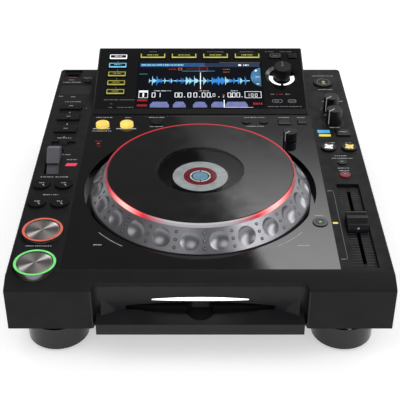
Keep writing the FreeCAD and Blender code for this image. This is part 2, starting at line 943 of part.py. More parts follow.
def jog():
    """The turning dial with its finger dimples, the pressing top plate, and the fixed column in the middle."""
    dial = revolve(
        [
            (S.hub_bore, S.dial_underside),
            (S.dial_radius, S.dial_underside),
            (S.dial_radius, S.dial_skirt_high),
            (S.dial_slope_radius, S.dial_slope_top),
            (S.dial_slope_radius, S.rim_top),
            (S.rim_bore, S.rim_top),
            (S.rim_bore, S.seat_top),
            (S.seat_radius, S.seat_top),
            (S.seat_radius, S.dial_floor),
            (S.hub_radius, S.dial_floor),
            (S.hub_radius, S.hub_top),
            (S.hub_bore, S.hub_top),
        ]
    )
    node("jog_dial", put(cut(dial, group(*dimples())), 0, S.jog_centre))
    plate = cut(
        rod(0, 0, (S.top_plate_low, S.top_plate_high), S.top_plate_radius),
        rod(0, 0, (S.top_plate_low - 1, S.top_plate_high + 1), S.window_ledge_bore),
        rod(0, 0, (S.window_ledge, S.top_plate_high + 1), S.window_bore),
    )
    node("jog_plate", put(plate, 0, S.jog_centre))
    node("jog_window", rod(0, S.jog_centre, (S.window_ledge, S.top_plate_high), S.window_radius))
    column = revolve(
        [
            (0, S.well_floor),
            (S.column_radius, S.well_floor),
            (S.column_radius, S.column_head_low),
            (S.column_head_radius, S.column_head_low),
            (S.column_head_radius, S.column_head_high),
            (0, S.column_head_high),
        ]
    )
    node("jog_display", put(column, 0, S.jog_centre))


def dimples():
    """Cones that press the dished finger grips into the dial's slope, evenly spaced."""
    low = Vector(JOG["dial_radius"], 0, JOG["dial_skirt_high"])
    high = Vector(JOG["dial_slope_radius"], 0, JOG["dial_slope_top"])
    outward = Vector(high.z - low.z, 0, low.x - high.x).normalize()
    middle = (low + high) * 0.5
    step = 360 / JOG["dimple_count"]
    grips = []
    for index in range(JOG["dimple_count"]):
        turn = Rotation(Vector(0, 0, 1), JOG["dimple_start_angle"] - 90 + index * step)
        grip = doc.addObject("Part::Cone", "grip")
        bind(grip, "Radius1", S.dimple_floor_radius)
        bind(grip, "Radius2", S.dimple_radius + (S.dimple_radius - S.dimple_floor_radius) * 0.4)
        bind(grip, "Height", S.dimple_depth * 1.4)
        grip.Placement = Placement(
            turn.multVec(middle - outward * JOG["dimple_depth"]),
            turn * Rotation(Vector(0, 0, 1), outward),
        )
        grips.append(grip)
    return grips


def display():
    """The sloped display housing, its glossy panel and the screen."""
    tilt = math.radians(DISPLAY["display_tilt"])
    top_y = DISPLAY["display_front"] + DISPLAY["display_length"] * math.cos(tilt)
    top_z = DISPLAY["display_front_height"] + DISPLAY["display_length"] * math.sin(tilt)
    housing = pad(
        "YZ_Plane",
        [
            (S.display_step_front, S.deck_top),
            (S.display_step_front, S.display_step_height),
            (S.display_front, S.display_front_height),
            (top_y, top_z),
            (S.display_rear, top_z - 1.2),
            (S.display_rear, S.deck_top),
        ],
        S.display_half_width * 2,
    )
    half = DISPLAY["display_half_width"]
    soften(housing, "Chamfer", 1.2, lambda p: abs(abs(p.x) - half) < 0.01 and p.z > 85 and p.y < top_y)
    top = (-S.panel_thickness, 20)
    tools = [slab(S.panel_half_width + 0.05, (S.panel_start - 0.05, S.panel_end + 0.05), top)]
    well = (-S.button_well, 0)
    tools += [square_hole(name, well, S.button_gap) for name in PANEL_SQUARE]
    x, y = S.selector_across, S.selector_along
    tools.append(rod(x, y, (-S.dial_well_depth, 0), S.dial_well_floor_radius))
    tools.append(rod(x, y, (-12, 0), S.selector_socket))
    node("display_housing", cut(housing, on_display(fuse(*tools))))

    sheet = slab(S.panel_half_width, (S.panel_start, S.panel_end), (-S.panel_thickness, 0))
    screen_x = (S.screen_left, S.screen_right)
    screen_y = (S.screen_start, S.screen_end)
    tools = [
        box(screen_x, screen_y, (-S.panel_thickness - 1, 1)),
        cone(x, y, (-S.panel_thickness - 0.01, 0.01), S.dial_well_floor_radius, S.dial_well_radius),
    ]
    tools += [square_hole(name, (-S.panel_thickness - 1, 1), S.button_gap) for name in PANEL_SQUARE]
    node("display_panel", on_display(cut(sheet, *tools)))
    edge = 0.05
    node("lcd_screen", on_display(box(
        (S.screen_left + edge, S.screen_right - edge),
        (S.screen_start + edge, S.screen_end - edge),
        (-S.panel_thickness, -S.screen_drop),
    )))


def selector():
    """The push stem and the fluted knob that turns on it."""
    x, y = S.selector_across, S.selector_along
    skirt = box(
        (x - S.selector_skirt, x + S.selector_skirt),
        (y - S.selector_skirt, y + S.selector_skirt),
        (-2.4, -1),
    )
    shaft = rod(x, y, (-9.5, 8), S.selector_shaft)
    node("selector_stem", on_display(fuse(skirt, shaft)))
    knob = rod(x, y, (-0.5, S.selector_height), S.selector_radius)
    tools = [rod(x, y, (-1, 8.5), S.selector_bore)]
    count = DISPLAY["selector_flutes"]
    reach = DISPLAY["selector_radius"] - 0.7
    for index in range(count):
        turn = 360 * (index + 0.5) / count
        angle = math.radians(turn)
        flute = box((0, 3), (0, 3), (-1, 9))
        flute.Placement.Rotation = Rotation(Vector(0, 0, 1), turn - 45)
        tools.append(put(flute, x + reach * math.cos(angle), y + reach * math.sin(angle), -1))
    node("selector_knob", on_display(cut(knob, *tools)))


def round_button(name, face, wall):
    """A round cap with a square flange that stops it under the wall."""
    x, y, radius = (named(name, field) for field in ("across", "along", "radius"))
    top = face + named(name, "rise")
    half = radius + S.round_flange_margin
    high = face - wall - S.seat_gap
    cap = rod(x, y, (high - S.flange_thickness, top), radius)
    flange = box((x - half, x + half), (y - half, y + half), (high - S.flange_thickness, high))
    node(name, fuse(cap, flange))


def square_button(name, face, wall):
    """A rectangular cap with softened upper edges and a flange under the wall."""
    x, y = named(name, "across"), named(name, "along")
    wide, deep = named(name, "half_width"), named(name, "half_length")
    top = face + named(name, "rise")
    margin = S.flange_margin
    high = face - wall - S.seat_gap
    cap = box((x - wide, x + wide), (y - deep, y + deep), (high - S.flange_thickness, top))
    flange = box(
        (x - wide - margin, x + wide + margin),
        (y - deep - margin, y + deep + margin),
        (high - S.flange_thickness, high),
    )
    node(name, fuse(cap, flange))


def panel_button(name):
    """A button on the display's slope, held in its own well."""
    x, y = named(name, "across"), named(name, "along")
    wide, deep = named(name, "half_width"), named(name, "half_length")
    cap = box((x - wide, x + wide), (y - deep, y + deep), (-S.button_depth, named(name, "rise")))
    node(name, on_display(cap))


def transport_button(name):
    """A large round button: bright skirt, raised lit ring and brushed cap, all moving together."""
    body = revolve(
        [
            (0, S.transport_skirt_bottom),
            (S.transport_radius, S.transport_skirt_bottom),
            (S.transport_radius, S.transport_ring_top),
            (S.transport_cap_radius, S.transport_ring_top),
            (S.transport_cap_radius, S.transport_cap_top),
            (0, S.transport_cap_top),
        ]
    )
    node(name, put(body, named(name, "across"), named(name, "along")))


def knob(name):
    """A potentiometer's knob, and the shaft below it."""
    x, y = named(name, "across"), named(name, "along")
    base = S.deck_top + 0.6
    top = base + named(name, "height") - 0.6
    body = rod(x, y, (base, top), named(name, "radius"))
    shaft = rod(x, y, (S.deck_top - 9, base), 3)
    node(name, fuse(body, shaft))


def tempo_fader():
    """Ridged fader cap on a blade that passes through the slot."""
    y, half = S.fader_middle, S.fader_cap_half_length
    ridge, valley, top = S.fader_ridge_half, S.fader_valley, S.fader_cap_top
    low = S.fader_cap_bottom
    cap = pad(
        "YZ_Plane",
        [
            (-half, low),
            (-half, low + 3),
            (-half * 0.82, valley + 0.5),
            (-half * 0.45, valley),
            (-ridge, top),
            (ridge, top),
            (half * 0.45, valley),
            (half * 0.72, top - 0.8),
            (half, top - 1.6),
            (half, low),
        ],
        S.fader_cap_half_width * 2,
    )
    blade = slab(S.fader_slot_half_width - 0.5, (-4, 4), (S.fader_stem_bottom, low + 0.5))
    node("tempo_fader", put(fuse(cap, blade), S.fader_across, y))


def direction_lever():
    """Rocking lever: a wedge-shaped paddle on a half drum that turns on a pin, leaning to the rear."""
    half = S.lever_drum_half_width
    drum = common(
        cross_rod((-half, half), 0, 0, S.lever_drum_radius),
        slab(half + 1, (-30, 30), (-3, 30)),
    )
    root, tip = S.lever_base_half, S.lever_top_half
    body = pad(
        "YZ_Plane",
        [
            (-root, S.lever_drum_radius - 0.5),
            (root, S.lever_drum_radius - 0.5),
            (tip, S.lever_top_radius),
            (-tip, S.lever_top_radius),
        ],
        S.lever_width,
    )
    pin = cross_rod((-half - 2, half + 2), 0, 0, S.lever_pin_radius)
    lever = fuse(drum, body, pin)
    lever.Placement.Rotation = Rotation(Vector(-1, 0, 0), CONTROLS["lever_tilt"])
    bind(lever, "Placement.Rotation.Angle", S.lever_tilt)
    node("direction_lever", put(lever, S.lever_across, S.lever_pivot_along, S.lever_pivot_height))


def card_door():
    """Flush flap over the card bay, with a hinge pin at each side of its rear edge."""
    x, y, z = S.door_across, S.door_hinge_along, S.door_hinge_height
    flap = slab(
        S.door_half_width,
        (y - S.door_reach, y + S.door_tail),
        (z - S.door_thickness / 2, z + S.door_thickness / 2),
        x,
    )
    pin = cross_rod((x - S.door_half_width - 1.4, x + S.door_half_width + 1.4), y, z, S.door_pin_radius)
    node("card_door", fuse(flap, pin))


def power_switch():
    """Rocker in the rear panel, on a pivot across its middle."""
    low_x, high_x, low_z, high_z = SWITCH
    middle = (low_z + high_z) / 2
    face = S.back_panel_face
    rocker = pad(
        "YZ_Plane",
        [
            (face - 6, middle - 7),
            (face + 3.6, low_z + 1.2),
            (face + 1.4, middle),
            (face + 1.6, high_z - 1.2),
            (face - 6, middle + 7),
        ],
        high_x - low_x - 1.2,
    )
    half = (high_x - low_x) / 2 - 0.3
    pivot = cross_rod((-half, half), face, middle, 1.5)
    node("power_switch", put(fuse(rocker, pivot), (low_x + high_x) / 2))


def controls():
    """Every button, knob, fader and lever."""
    for name in PLATE_ROUND:
        round_button(name, S.deck_top, S.plate_thickness)
    for name in CASE_ROUND:
        round_button(name, S.deck_top, S.top_wall)
    for name in PLATE_SQUARE:
        square_button(name, S.deck_top, S.plate_thickness)
    for name in CASE_SQUARE:
        square_button(name, S.deck_top, S.top_wall)
    for name in PANEL_SQUARE:
        panel_button(name)
    for name in TRANSPORT_ROUND:
        transport_button(name)
    for name in KNOBS:
        knob(name)
    selector()
    tempo_fader()
    direction_lever()
    card_door()
    power_switch()


def check_and_write():
    """Stops on a failed object, then writes each piece."""
    doc.recompute()
    for item in doc.Objects:
        if "Invalid" in item.State or "Error" in item.State:
            raise RuntimeError(f"{item.Name} {item.Label} failed: {item.State}")
    os.makedirs("parts", exist_ok=True)
    for item in nodes:
        shape = item.Shape
        if shape.isNull() or not shape.isValid() or not shape.Solids:
            raise RuntimeError(f"{item.Label} has no sound shape")
    for item in nodes:
        item.Shape.exportStep(f"parts/{item.Label}.step")
        print(item.Label, len(item.Shape.Solids), round(item.Shape.Volume))
    print(len(nodes), "pieces")


chassis()
circuit_boards()
upper_case()
deck_plate()
slot_bezel()
node("slot_light", light_strip(0))
feet()
disc_drive()
jog()
display()
controls()
check_and_write()
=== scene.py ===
import math
import random

import bpy
from mathutils import Matrix, Vector


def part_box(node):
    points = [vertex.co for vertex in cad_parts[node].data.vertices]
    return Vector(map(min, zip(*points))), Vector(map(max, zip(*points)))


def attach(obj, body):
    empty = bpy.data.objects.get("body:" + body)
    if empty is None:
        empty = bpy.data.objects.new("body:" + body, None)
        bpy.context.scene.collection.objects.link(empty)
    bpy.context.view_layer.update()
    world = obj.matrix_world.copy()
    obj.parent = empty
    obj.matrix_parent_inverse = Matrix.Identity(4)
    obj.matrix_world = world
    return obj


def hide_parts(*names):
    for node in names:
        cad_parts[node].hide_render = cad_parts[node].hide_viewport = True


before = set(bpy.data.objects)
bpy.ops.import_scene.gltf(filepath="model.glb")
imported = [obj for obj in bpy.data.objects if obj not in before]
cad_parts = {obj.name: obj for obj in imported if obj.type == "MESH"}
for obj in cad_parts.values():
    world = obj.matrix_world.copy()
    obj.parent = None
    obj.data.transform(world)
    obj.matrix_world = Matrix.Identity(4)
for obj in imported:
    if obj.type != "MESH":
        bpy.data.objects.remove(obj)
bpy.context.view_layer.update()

# Looks of a tabletop disc and media player. Shapes are given in millimetres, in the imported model's frame.
MM = 0.001
TILT = math.radians(13.46)
SLOPE = Matrix.Translation((0, 0.099, 0.0818)) @ Matrix.Rotation(TILT, 4, "X")
JOG_CENTRE = (0, -48)
DECK_TOP = 79.5
PANEL_BACK = 192
SCREEN_FACE = -0.49
PRINT = 0.06
CAMERA_BACK = 796.7
CAMERA_HEIGHT = 560.8
DIFFUSE_LEVEL = 0.62
FLOOR_GLOW = 0.46
GRIPS = 24
GRIP_START = 9.6
GRIP_RADIUS = 8.4
GRIP_DEPTH = 2.5
SKIRT = Vector((103, 0, 77.5))
SHOULDER = Vector((88.2, 0, 94.4))
random.seed(11)


def tone(red, green, blue):
    """A display colour of 0 to 255 as the linear colour that a shader takes."""
    def linear(value):
        value /= 255
        return value / 12.92 if value <= 0.04045 else ((value + 0.055) / 1.055) ** 2.4

    return (linear(red), linear(green), linear(blue), 1)


def shade(colour, amount):
    """A colour made lighter or darker."""
    return tuple(min(1, channel * amount) for channel in colour[:3]) + (1,)


class Graph:
    """One procedural material: a Principled shader, and the nodes that feed it."""

    def __init__(self, name, **shader):
        self.material = bpy.data.materials.new(name)
        self.material.use_nodes = True
        self.tree = self.material.node_tree
        self.shader = self.tree.nodes["Principled BSDF"]
        self.coordinates = self.node("TexCoord").outputs["Object"]
        self.set(self.shader, shader)

    def node(self, kind, inputs=None, **settings):
        item = self.tree.nodes.new(f"ShaderNode{kind}")
        for key, value in settings.items():
            setattr(item, key, value)
        self.set(item, inputs or {})
        return item

    def set(self, item, inputs):
        for key, value in inputs.items():
            socket = item.inputs[key]
            if isinstance(value, bpy.types.NodeSocket):
                self.tree.links.new(value, socket)
            else:
                socket.default_value = value

    def noise(self, scale, detail=2.0, stretch=None):
        vector = self.coordinates
        if stretch:
            vector = self.node("Mapping", {"Vector": vector, "Scale": stretch}).outputs[0]
        return self.node("TexNoise", {"Vector": vector, "Scale": scale, "Detail": detail}).outputs["Fac"]

    def spread(self, value, low, high, start=0.35, end=0.65, **settings):
        """Maps a value onto a range."""
        inputs = {"Value": value, "From Min": start, "From Max": end, "To Min": low, "To Max": high}
        return self.node("MapRange", inputs, **settings).outputs[0]

    def blend(self, value, first, second):
        """A colour between two, by a value from 0 to 1."""
        item = self.node("Mix", data_type="RGBA")
        self.set(item, {0: value, 6: first, 7: second})
        return item.outputs[2]

    def math(self, operation, first, second=0.0):
        return self.node("Math", {0: first, 1: second}, operation=operation).outputs[0]

    def bump(self, height, distance, strength=0.5):
        normal = self.node("Bump", {"Height": height, "Distance": distance, "Strength": strength})
        self.set(self.shader, {"Normal": normal.outputs[0]})


def plastic(name, colour, rough, grain=1800, depth=0.00002, shine=0.25):
    """Moulded plastic: fine grain, and slow changes of tone and gloss."""
    graph = Graph(name, **{"Specular IOR Level": shine})
    colours = graph.blend(graph.spread(graph.noise(45, 3), 0, 1), shade(colour, 0.9), shade(colour, 1.1))
    roughness = graph.spread(graph.noise(90, 4), rough * 0.88, min(1, rough * 1.12))
    graph.set(graph.shader, {"Base Color": colours, "Roughness": roughness})
    if depth:
        graph.bump(graph.noise(grain, 2), depth)
    return graph.material


def gloss(name, colour, rough=0.05, shine=0.5):
    """Polished plastic with faint dust and wiping marks in its gloss."""
    graph = Graph(name, **{"Specular IOR Level": shine})
    marks = graph.noise(14, 6, (1, 3, 1))
    colours = graph.blend(graph.spread(marks, 0, 1), shade(colour, 0.92), shade(colour, 1.08))
    roughness = graph.spread(graph.noise(60, 5), rough * 0.7, rough * 1.5)
    graph.set(graph.shader, {"Base Color": colours, "Roughness": roughness})
    return graph.material


def metal(name, colour, rough, flake=2600, depth=0.000004):
    """Metal or metallic paint with a fine flake."""
    graph = Graph(name, Metallic=0.9)
    fine = graph.noise(flake, 1)
    colours = graph.blend(graph.spread(fine, 0, 1), shade(colour, 0.94), shade(colour, 1.06))
    roughness = graph.spread(graph.noise(120, 3), rough * 0.92, rough * 1.08)
    graph.set(graph.shader, {"Base Color": colours, "Roughness": roughness})
    if depth:
        graph.bump(fine, depth, 0.2)
    return graph.material


def brushed(name, colour, rough=0.32, painted_highlight_angle=40):
    """Turned metal: fine circles round its own middle, and a painted highlight: a bright sector, with a
    weaker one across it, painted into the base colour.
    """
    graph = Graph(name, Metallic=0.6, Anisotropic=0.9)
    aim = graph.node(
        "VectorRotate",
        {"Vector": graph.coordinates, "Angle": math.radians(-painted_highlight_angle)},
        rotation_type="Z_AXIS",
    )
    flat = graph.node("VectorMath", {0: aim.outputs[0], 1: (1, 1, 0)}, operation="MULTIPLY").outputs[0]
    unit = graph.node("VectorMath", {0: flat}, operation="NORMALIZE").outputs[0]
    parts = graph.node("SeparateXYZ", {0: unit})
    # Painted highlight: a narrow bright sector at the given angle, and a weaker one across it.
    highlight_wedge = graph.math("POWER", graph.math("ABSOLUTE", parts.outputs[0]), 34.0)
    soft = graph.math("MULTIPLY", graph.math("POWER", graph.math("ABSOLUTE", parts.outputs[1]), 8.0), 0.3)
    highlight_wedge = graph.math("MAXIMUM", highlight_wedge, soft)
    rings = graph.node(
        "TexWave",
        {"Vector": graph.coordinates, "Scale": 900.0, "Distortion": 0.6},
        wave_type="RINGS",
        rings_direction="Z",
    ).outputs["Fac"]
    colours = graph.blend(rings, shade(colour, 0.8), shade(colour, 1.1))
    # The painted highlight is blended into the base colour as near white.
    colours = graph.blend(highlight_wedge, colours, tone(255, 252, 248))
    tangent = graph.node("Tangent", direction_type="RADIAL", axis="Z")
    graph.set(graph.shader, {"Base Color": colours, "Tangent": tangent.outputs[0], "Roughness": rough})
    graph.bump(rings, 0.00001, 0.25)
    return graph.material


def lit(name, colour, strength=1.0, scale=140, vary=0.15):
    """A lit light guide: its glow is a little uneven along its length."""
    graph = Graph(name, Roughness=0.35)
    glow = graph.spread(graph.noise(scale, 2), strength * (1 - vary), strength * (1 + vary))
    colours = graph.blend(graph.spread(graph.noise(400, 2), 0, 1), shade(colour, 0.14), shade(colour, 0.2))
    graph.set(graph.shader, {"Base Color": colours, "Emission Color": colour, "Emission Strength": glow})
    return graph.material


def ink(name, colour):
    """Printed marking: thin ink with slight unevenness."""
    graph = Graph(name, Roughness=0.5)
    colours = graph.blend(graph.spread(graph.noise(700, 3), 0, 1), shade(colour, 0.8), shade(colour, 1.05))
    graph.set(graph.shader, {"Base Color": colours})
    return graph.material


def smoked(name, colour, alpha):
    """Clear cover that darkens what lies under it."""
    graph = Graph(name, Alpha=alpha)
    roughness = graph.spread(graph.noise(30, 4), 0.02, 0.06)
    colours = graph.blend(graph.noise(20, 2), shade(colour, 0.8), shade(colour, 1.2))
    graph.set(graph.shader, {"Base Color": colours, "Roughness": roughness})
    return graph.material


def rim_light():
    """The dial's clear rim: grey in front, red beside it with a lamp on each side, and red behind."""
    graph = Graph("rim_light_red", Roughness=0.25)
    place = graph.node("SeparateXYZ", {0: graph.coordinates})
    side = graph.math("ABSOLUTE", place.outputs[0])
    near = graph.math("ABSOLUTE", graph.math("SUBTRACT", side, 0.066))
    lamp = graph.spread(near, 1.0, 0.0, 0.0, 0.02, interpolation_type="SMOOTHSTEP")
    front = graph.spread(place.outputs[1], 1.0, 0.0, -0.04, 0.0)
    lamp = graph.math("MULTIPLY", lamp, front)
    clear = graph.math("MULTIPLY", graph.spread(side, 1.0, 0.0, 0.028, 0.05), front)
    pale = graph.math("MULTIPLY", graph.spread(side, 0.0, 1.0, 0.076, 0.086), 0.85)
    red = graph.blend(pale, tone(205, 34, 54), tone(96, 62, 70))
    red = graph.blend(lamp, red, tone(255, 130, 125))
    hot = graph.blend(clear, red, tone(128, 120, 126))
    strength = graph.math("ADD", graph.math("MULTIPLY", lamp, 2.2), 0.8)
    base = graph.blend(clear, tone(120, 30, 36), tone(170, 168, 172))
    graph.set(graph.shader, {"Base Color": base, "Emission Color": hot, "Emission Strength": strength})
    return graph.material


def screen_glass():
    """Near-black display face, faintly blue and glowing towards its middle."""
    graph = Graph("screen_glass", **{"Specular IOR Level": 0.3})
    place = graph.node("SeparateXYZ", {0: graph.coordinates})
    fall = graph.spread(graph.math("ABSOLUTE", place.outputs[0]), 1.0, 0.0, 0.0, 0.08)
    colours = graph.blend(fall, tone(3, 4, 8), tone(6, 9, 18))
    roughness = graph.spread(graph.noise(60, 4), 0.05, 0.12)
    graph.set(graph.shader, {"Base Color": colours, "Roughness": roughness, "Emission Color": colours})
    graph.set(graph.shader, {"Emission Strength": 0.7})
    return graph.material


WHITE_PRINT = ink("white_print", tone(190, 192, 196))
GREY_PRINT = ink("grey_print", tone(120, 122, 126))
RED_PRINT = ink("red_print", tone(150, 44, 52))
BLACK_GLOSS = gloss("black_gloss", tone(9, 9, 11), 0.08, 0.35)
DECK_GLOSS = gloss("deck_gloss", tone(13, 13, 15), 0.05)
CASE = plastic("case_plastic", tone(19, 19, 21), 0.55, 1500, 0.00004, 0.2)
SATIN = plastic("satin_plastic", tone(26, 26, 28), 0.4, 2600, 0.00001)
KNOB = plastic("knob_rubber", tone(16, 16, 18), 0.4, 2200, 0.00002, 0.3)
KEY = plastic("dark_key", tone(18, 18, 20), 0.3, 2600, 0.0, 0.2)
PILL = plastic("soft_gloss_key", tone(12, 12, 13), 0.16, 2600, 0.0, 0.35)
LEVER = plastic("lever_plastic", tone(84, 84, 90), 0.42, 2200, 0.00001)
SILVER = metal("silver_paint", tone(146, 146, 151), 0.33)
CHROME = metal("bright_ring", tone(120, 120, 122), 0.2, depth=0.0)
STEEL = metal("plated_steel", tone(150, 152, 156), 0.38, 900)
SCREW = metal("screw_steel", tone(58, 58, 60), 0.35, 900)
POWDER = plastic("powder_coat", tone(26, 26, 28), 0.62, 1200, 0.00006)
SOCKET = plastic("socket_plastic", tone(22, 22, 24), 0.45)
GOLD = metal("plated_contact", tone(206, 170, 96), 0.25)
FOOT = gloss("foot_gloss", tone(8, 8, 9), 0.12)
LIT_WHITE = lit("lit_white", tone(240, 243, 248), 1.3)
LIT_GREEN = lit("lit_green", tone(112, 222, 118), 0.95)
LIT_CUE = lit("lit_orange", tone(222, 104, 82), 0.8)
LIT_YELLOW = lit("lit_yellow", tone(238, 208, 80), 0.9)
LIT_OLIVE = lit("lit_olive", tone(186, 182, 72), 0.8)
LIT_CYAN = lit("lit_cyan", tone(120, 205, 240), 1.0)
LIT_BLUE = lit("lit_blue", tone(70, 170, 220), 0.9)
LIT_RED = lit("lit_red", tone(200, 40, 56), 0.8)
LIT_PINK = lit("lit_pink", tone(232, 62, 92), 0.9)
SCREEN_PALE = lit("screen_pale", tone(150, 215, 240), 0.95)
SCREEN_BLUE = lit("screen_blue", tone(40, 140, 225), 0.85)
SCREEN_RED = lit("screen_red_light", tone(170, 20, 24), 0.75)
SCREEN_ORANGE = lit("screen_orange_light", tone(200, 110, 70), 0.7)


def place_at(x, y, z):
    """A shape's own frame at a point of the deck."""
    return Matrix.Translation(Vector((x, y, z)) * MM)


def rounded(low_x, low_y, high_x, high_y, radius, steps=4):
    """A rectangle's outline with round corners."""
    radius = min(radius, (high_x - low_x) / 2 - 0.01, (high_y - low_y) / 2 - 0.01)
    corners = [
        (high_x - radius, high_y - radius, 0),
        (low_x + radius, high_y - radius, 90),
        (low_x + radius, low_y + radius, 180),
        (high_x - radius, low_y + radius, 270),
    ]
    points = []
    for x, y, start in corners:
        for step in range(steps + 1):
            angle = math.radians(start + 90 * step / steps)
            points.append((x + radius * math.cos(angle), y + radius * math.sin(angle)))
    return points


def arc(x, y, radius, start, end, steps=24):
    """Points along an arc, between two angles in degrees."""
    points = []
    for step in range(steps + 1):
        angle = math.radians(start + (end - start) * step / steps)
        points.append((x + radius * math.cos(angle), y + radius * math.sin(angle)))
    return points


def circle(x, y, radius, steps=40):
    """A circle's outline."""
    return arc(x, y, radius, 0, 360, steps)[:-1]


class Shape:
    """Collects closed forms in millimetres and makes one piece of them."""

    def __init__(self, place=None):
        self.place = place or Matrix.Identity(4)
        self.vertices = []
        self.faces = []

    def add(self, vertices, faces, turn=None):
        start = len(self.vertices)
        for vertex in vertices:
            point = Vector(vertex)
            self.vertices.append((turn @ point if turn else point) * MM)
        self.faces += [tuple(start + index for index in face) for face in faces]

    def plate(self, outline, low, high, turn=None):
        """A flat form with that outline."""
        count = len(outline)
        vertices = [(x, y, low) for x, y in outline] + [(x, y, high) for x, y in outline]
        faces = [tuple(reversed(range(count))), tuple(range(count, 2 * count))]
        faces += [(i, (i + 1) % count, count + (i + 1) % count, count + i) for i in range(count)]
        self.add(vertices, faces, turn)
        return self

    def bar(self, x, y, width, height, low, high, turn=None):
        """A small rectangle about its middle."""
        half, tall = width / 2, height / 2
        outline = [(x + half, y + tall), (x - half, y + tall), (x - half, y - tall), (x + half, y - tall)]
        return self.plate(outline, low, high, turn)

    def frame(self, outer, inner, low, high):
        """A closed band between two outlines with equally many points."""
        count = len(outer)
        loops = [(outer, low), (outer, high), (inner, high), (inner, low)]
        vertices = [(x, y, z) for loop, z in loops for x, y in loop]
        faces = []
        for k in range(4):
            first, second = k * count, (k + 1) % 4 * count
            for i in range(count):
                j = (i + 1) % count
                faces.append((first + i, first + j, second + j, second + i))
        self.add(vertices, faces)
        return self

    def outline(self, low_x, low_y, high_x, high_y, width, foot, radius, low, high):
        """A rectangle's frame with a thicker lower side."""
        return self.frame(
            rounded(low_x, low_y, high_x, high_y, radius),
            rounded(low_x + width, low_y + foot, high_x - width, high_y - width, radius * 0.5),
            low, high,
        )

    def ring(self, x, y, inner, outer, low, high, steps=72):
        return self.frame(circle(x, y, outer, steps), circle(x, y, inner, steps), low, high)

    def lathe(self, profile, steps=72, x=0, y=0, turn=None, closed=True):
        """An outline of radius and height, turned about an upright axis. Radii above 0."""
        count = len(profile)
        vertices = []
        for step in range(steps):
            angle = 2 * math.pi * step / steps
            for radius, z in profile:
                vertices.append((x + radius * math.cos(angle), y + radius * math.sin(angle), z))
        faces = []
        for step in range(steps):
            first, second = step * count, (step + 1) % steps * count
            for i in range(count if closed else count - 1):
                j = (i + 1) % count
                faces.append((first + i, second + i, second + j, first + j))
        self.add(vertices, faces, turn)
        return self

    def dome(self, x, y, radius, low, high, steps=32, levels=5, turn=None):
        """A low round cap with a crowned top."""
        profile = [(radius, low)]
        for level in range(levels + 1):
            angle = math.pi / 2 * level / levels
            profile.append((radius * math.cos(angle) * 0.999 + 0.001, low + (high - low) * math.sin(angle)))
        profile.append((0.001, low))
        return self.lathe(profile, steps, x, y, turn)

    def make(self, name, material, body="root", slot=None, edge=0.0, joined=False):
        """The finished piece, in a material, on a body."""
        mesh = bpy.data.meshes.new(name)
        mesh.from_pydata([tuple(vertex) for vertex in self.vertices], [], self.faces)
        mesh.validate()
        mesh.materials.append(material)
        piece = bpy.data.objects.new(name, mesh)
        bpy.context.collection.objects.link(piece)
        piece.matrix_world = self.place
        soften(piece, edge, joined)
        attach(piece, body)
        return piece


def smooth_by_angle(limit=25):
    """Geometry nodes that shade a piece smooth, with clean edges where faces meet at more than the limit."""
    group = bpy.data.node_groups.new("smooth_by_angle", "GeometryNodeTree")
    group.interface.new_socket("Geometry", in_out="INPUT", socket_type="NodeSocketGeometry")
    group.interface.new_socket("Geometry", in_out="OUTPUT", socket_type="NodeSocketGeometry")
    nodes, links = group.nodes, group.links
    start, end = nodes.new("NodeGroupInput"), nodes.new("NodeGroupOutput")
    clear = nodes.new("GeometryNodeRemoveAttribute")
    clear.inputs["Name"].default_value = "custom_normal"
    faces, edges = nodes.new("GeometryNodeSetShadeSmooth"), nodes.new("GeometryNodeSetShadeSmooth")
    faces.domain, edges.domain = "FACE", "EDGE"
    edges.inputs["Shade Smooth"].default_value = False
    angle = nodes.new("GeometryNodeInputMeshEdgeAngle")
    sharp = nodes.new("FunctionNodeCompare")
    sharp.data_type, sharp.operation = "FLOAT", "GREATER_THAN"
    sharp.inputs[1].default_value = math.radians(limit)
    links.new(angle.outputs["Unsigned Angle"], sharp.inputs[0])
    links.new(sharp.outputs[0], edges.inputs["Selection"])
    chain = [start, clear, faces, edges, end]
    for first, second in zip(chain, chain[1:]):
        links.new(first.outputs[0], second.inputs[0])
    return group


SMOOTH = smooth_by_angle()


def soften(item, width=0.0, joined=False):
    """Smooth shading with clean edges, and a small bevel where a width is given."""
    if joined:
        weld = item.modifiers.new("joined", "WELD")
        weld.merge_threshold = 0.000002
    if width:
        bevel = item.modifiers.new("edges", "BEVEL")
        bevel.width = width * MM
        bevel.segments = 2
        bevel.limit_method = "ANGLE"
        bevel.angle_limit = math.radians(35)
    item.modifiers.new("smooth", "NODES").node_group = SMOOTH
    if width:
        item.modifiers.new("flat_faces", "WEIGHTED_NORMAL").keep_sharp = True


def low_high(node):
    """A node's lowest and highest corners in millimetres."""
    low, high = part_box(node)
    return Vector(low) / MM, Vector(high) / MM


def middle(node):
    """The middle of a node in plan, and its top."""
    low, high = low_high(node)
    return (low.x + high.x) / 2, (low.y + high.y) / 2, high.z


def slope_block(node):
    """A display button's cap on the slope: low u, low v, high u, high v, and its face."""
    low, high = low_high(node)
    centre = SLOPE.inverted() @ ((low + high) / 2 * MM) / MM
    size = high - low
    cos, sin = math.cos(TILT), math.sin(TILT)
    along = (size.y * cos - size.z * sin) / (cos * cos - sin * sin)
    rise = (size.z * cos - size.y * sin) / (cos * cos - sin * sin)
    wide, deep = size.x / 2, along / 2
    return centre.x - wide, centre.y - deep, centre.x + wide, centre.y + deep, centre.z + rise / 2


def words(shape, x, y, width, low, height=1.0, turn=None):
    """A generic label: a row of short dashes with gaps, which says nothing."""
    at = x - width / 2
    end = x + width / 2
    while at < end - 0.4:
        length = min(random.uniform(0.7, 1.9), end - at)
        shape.bar(at + length / 2, y, length, height * random.uniform(0.75, 1), low, low + PRINT, turn)
        at += length + random.choice((0.35, 0.4, 1.0))
    return shape


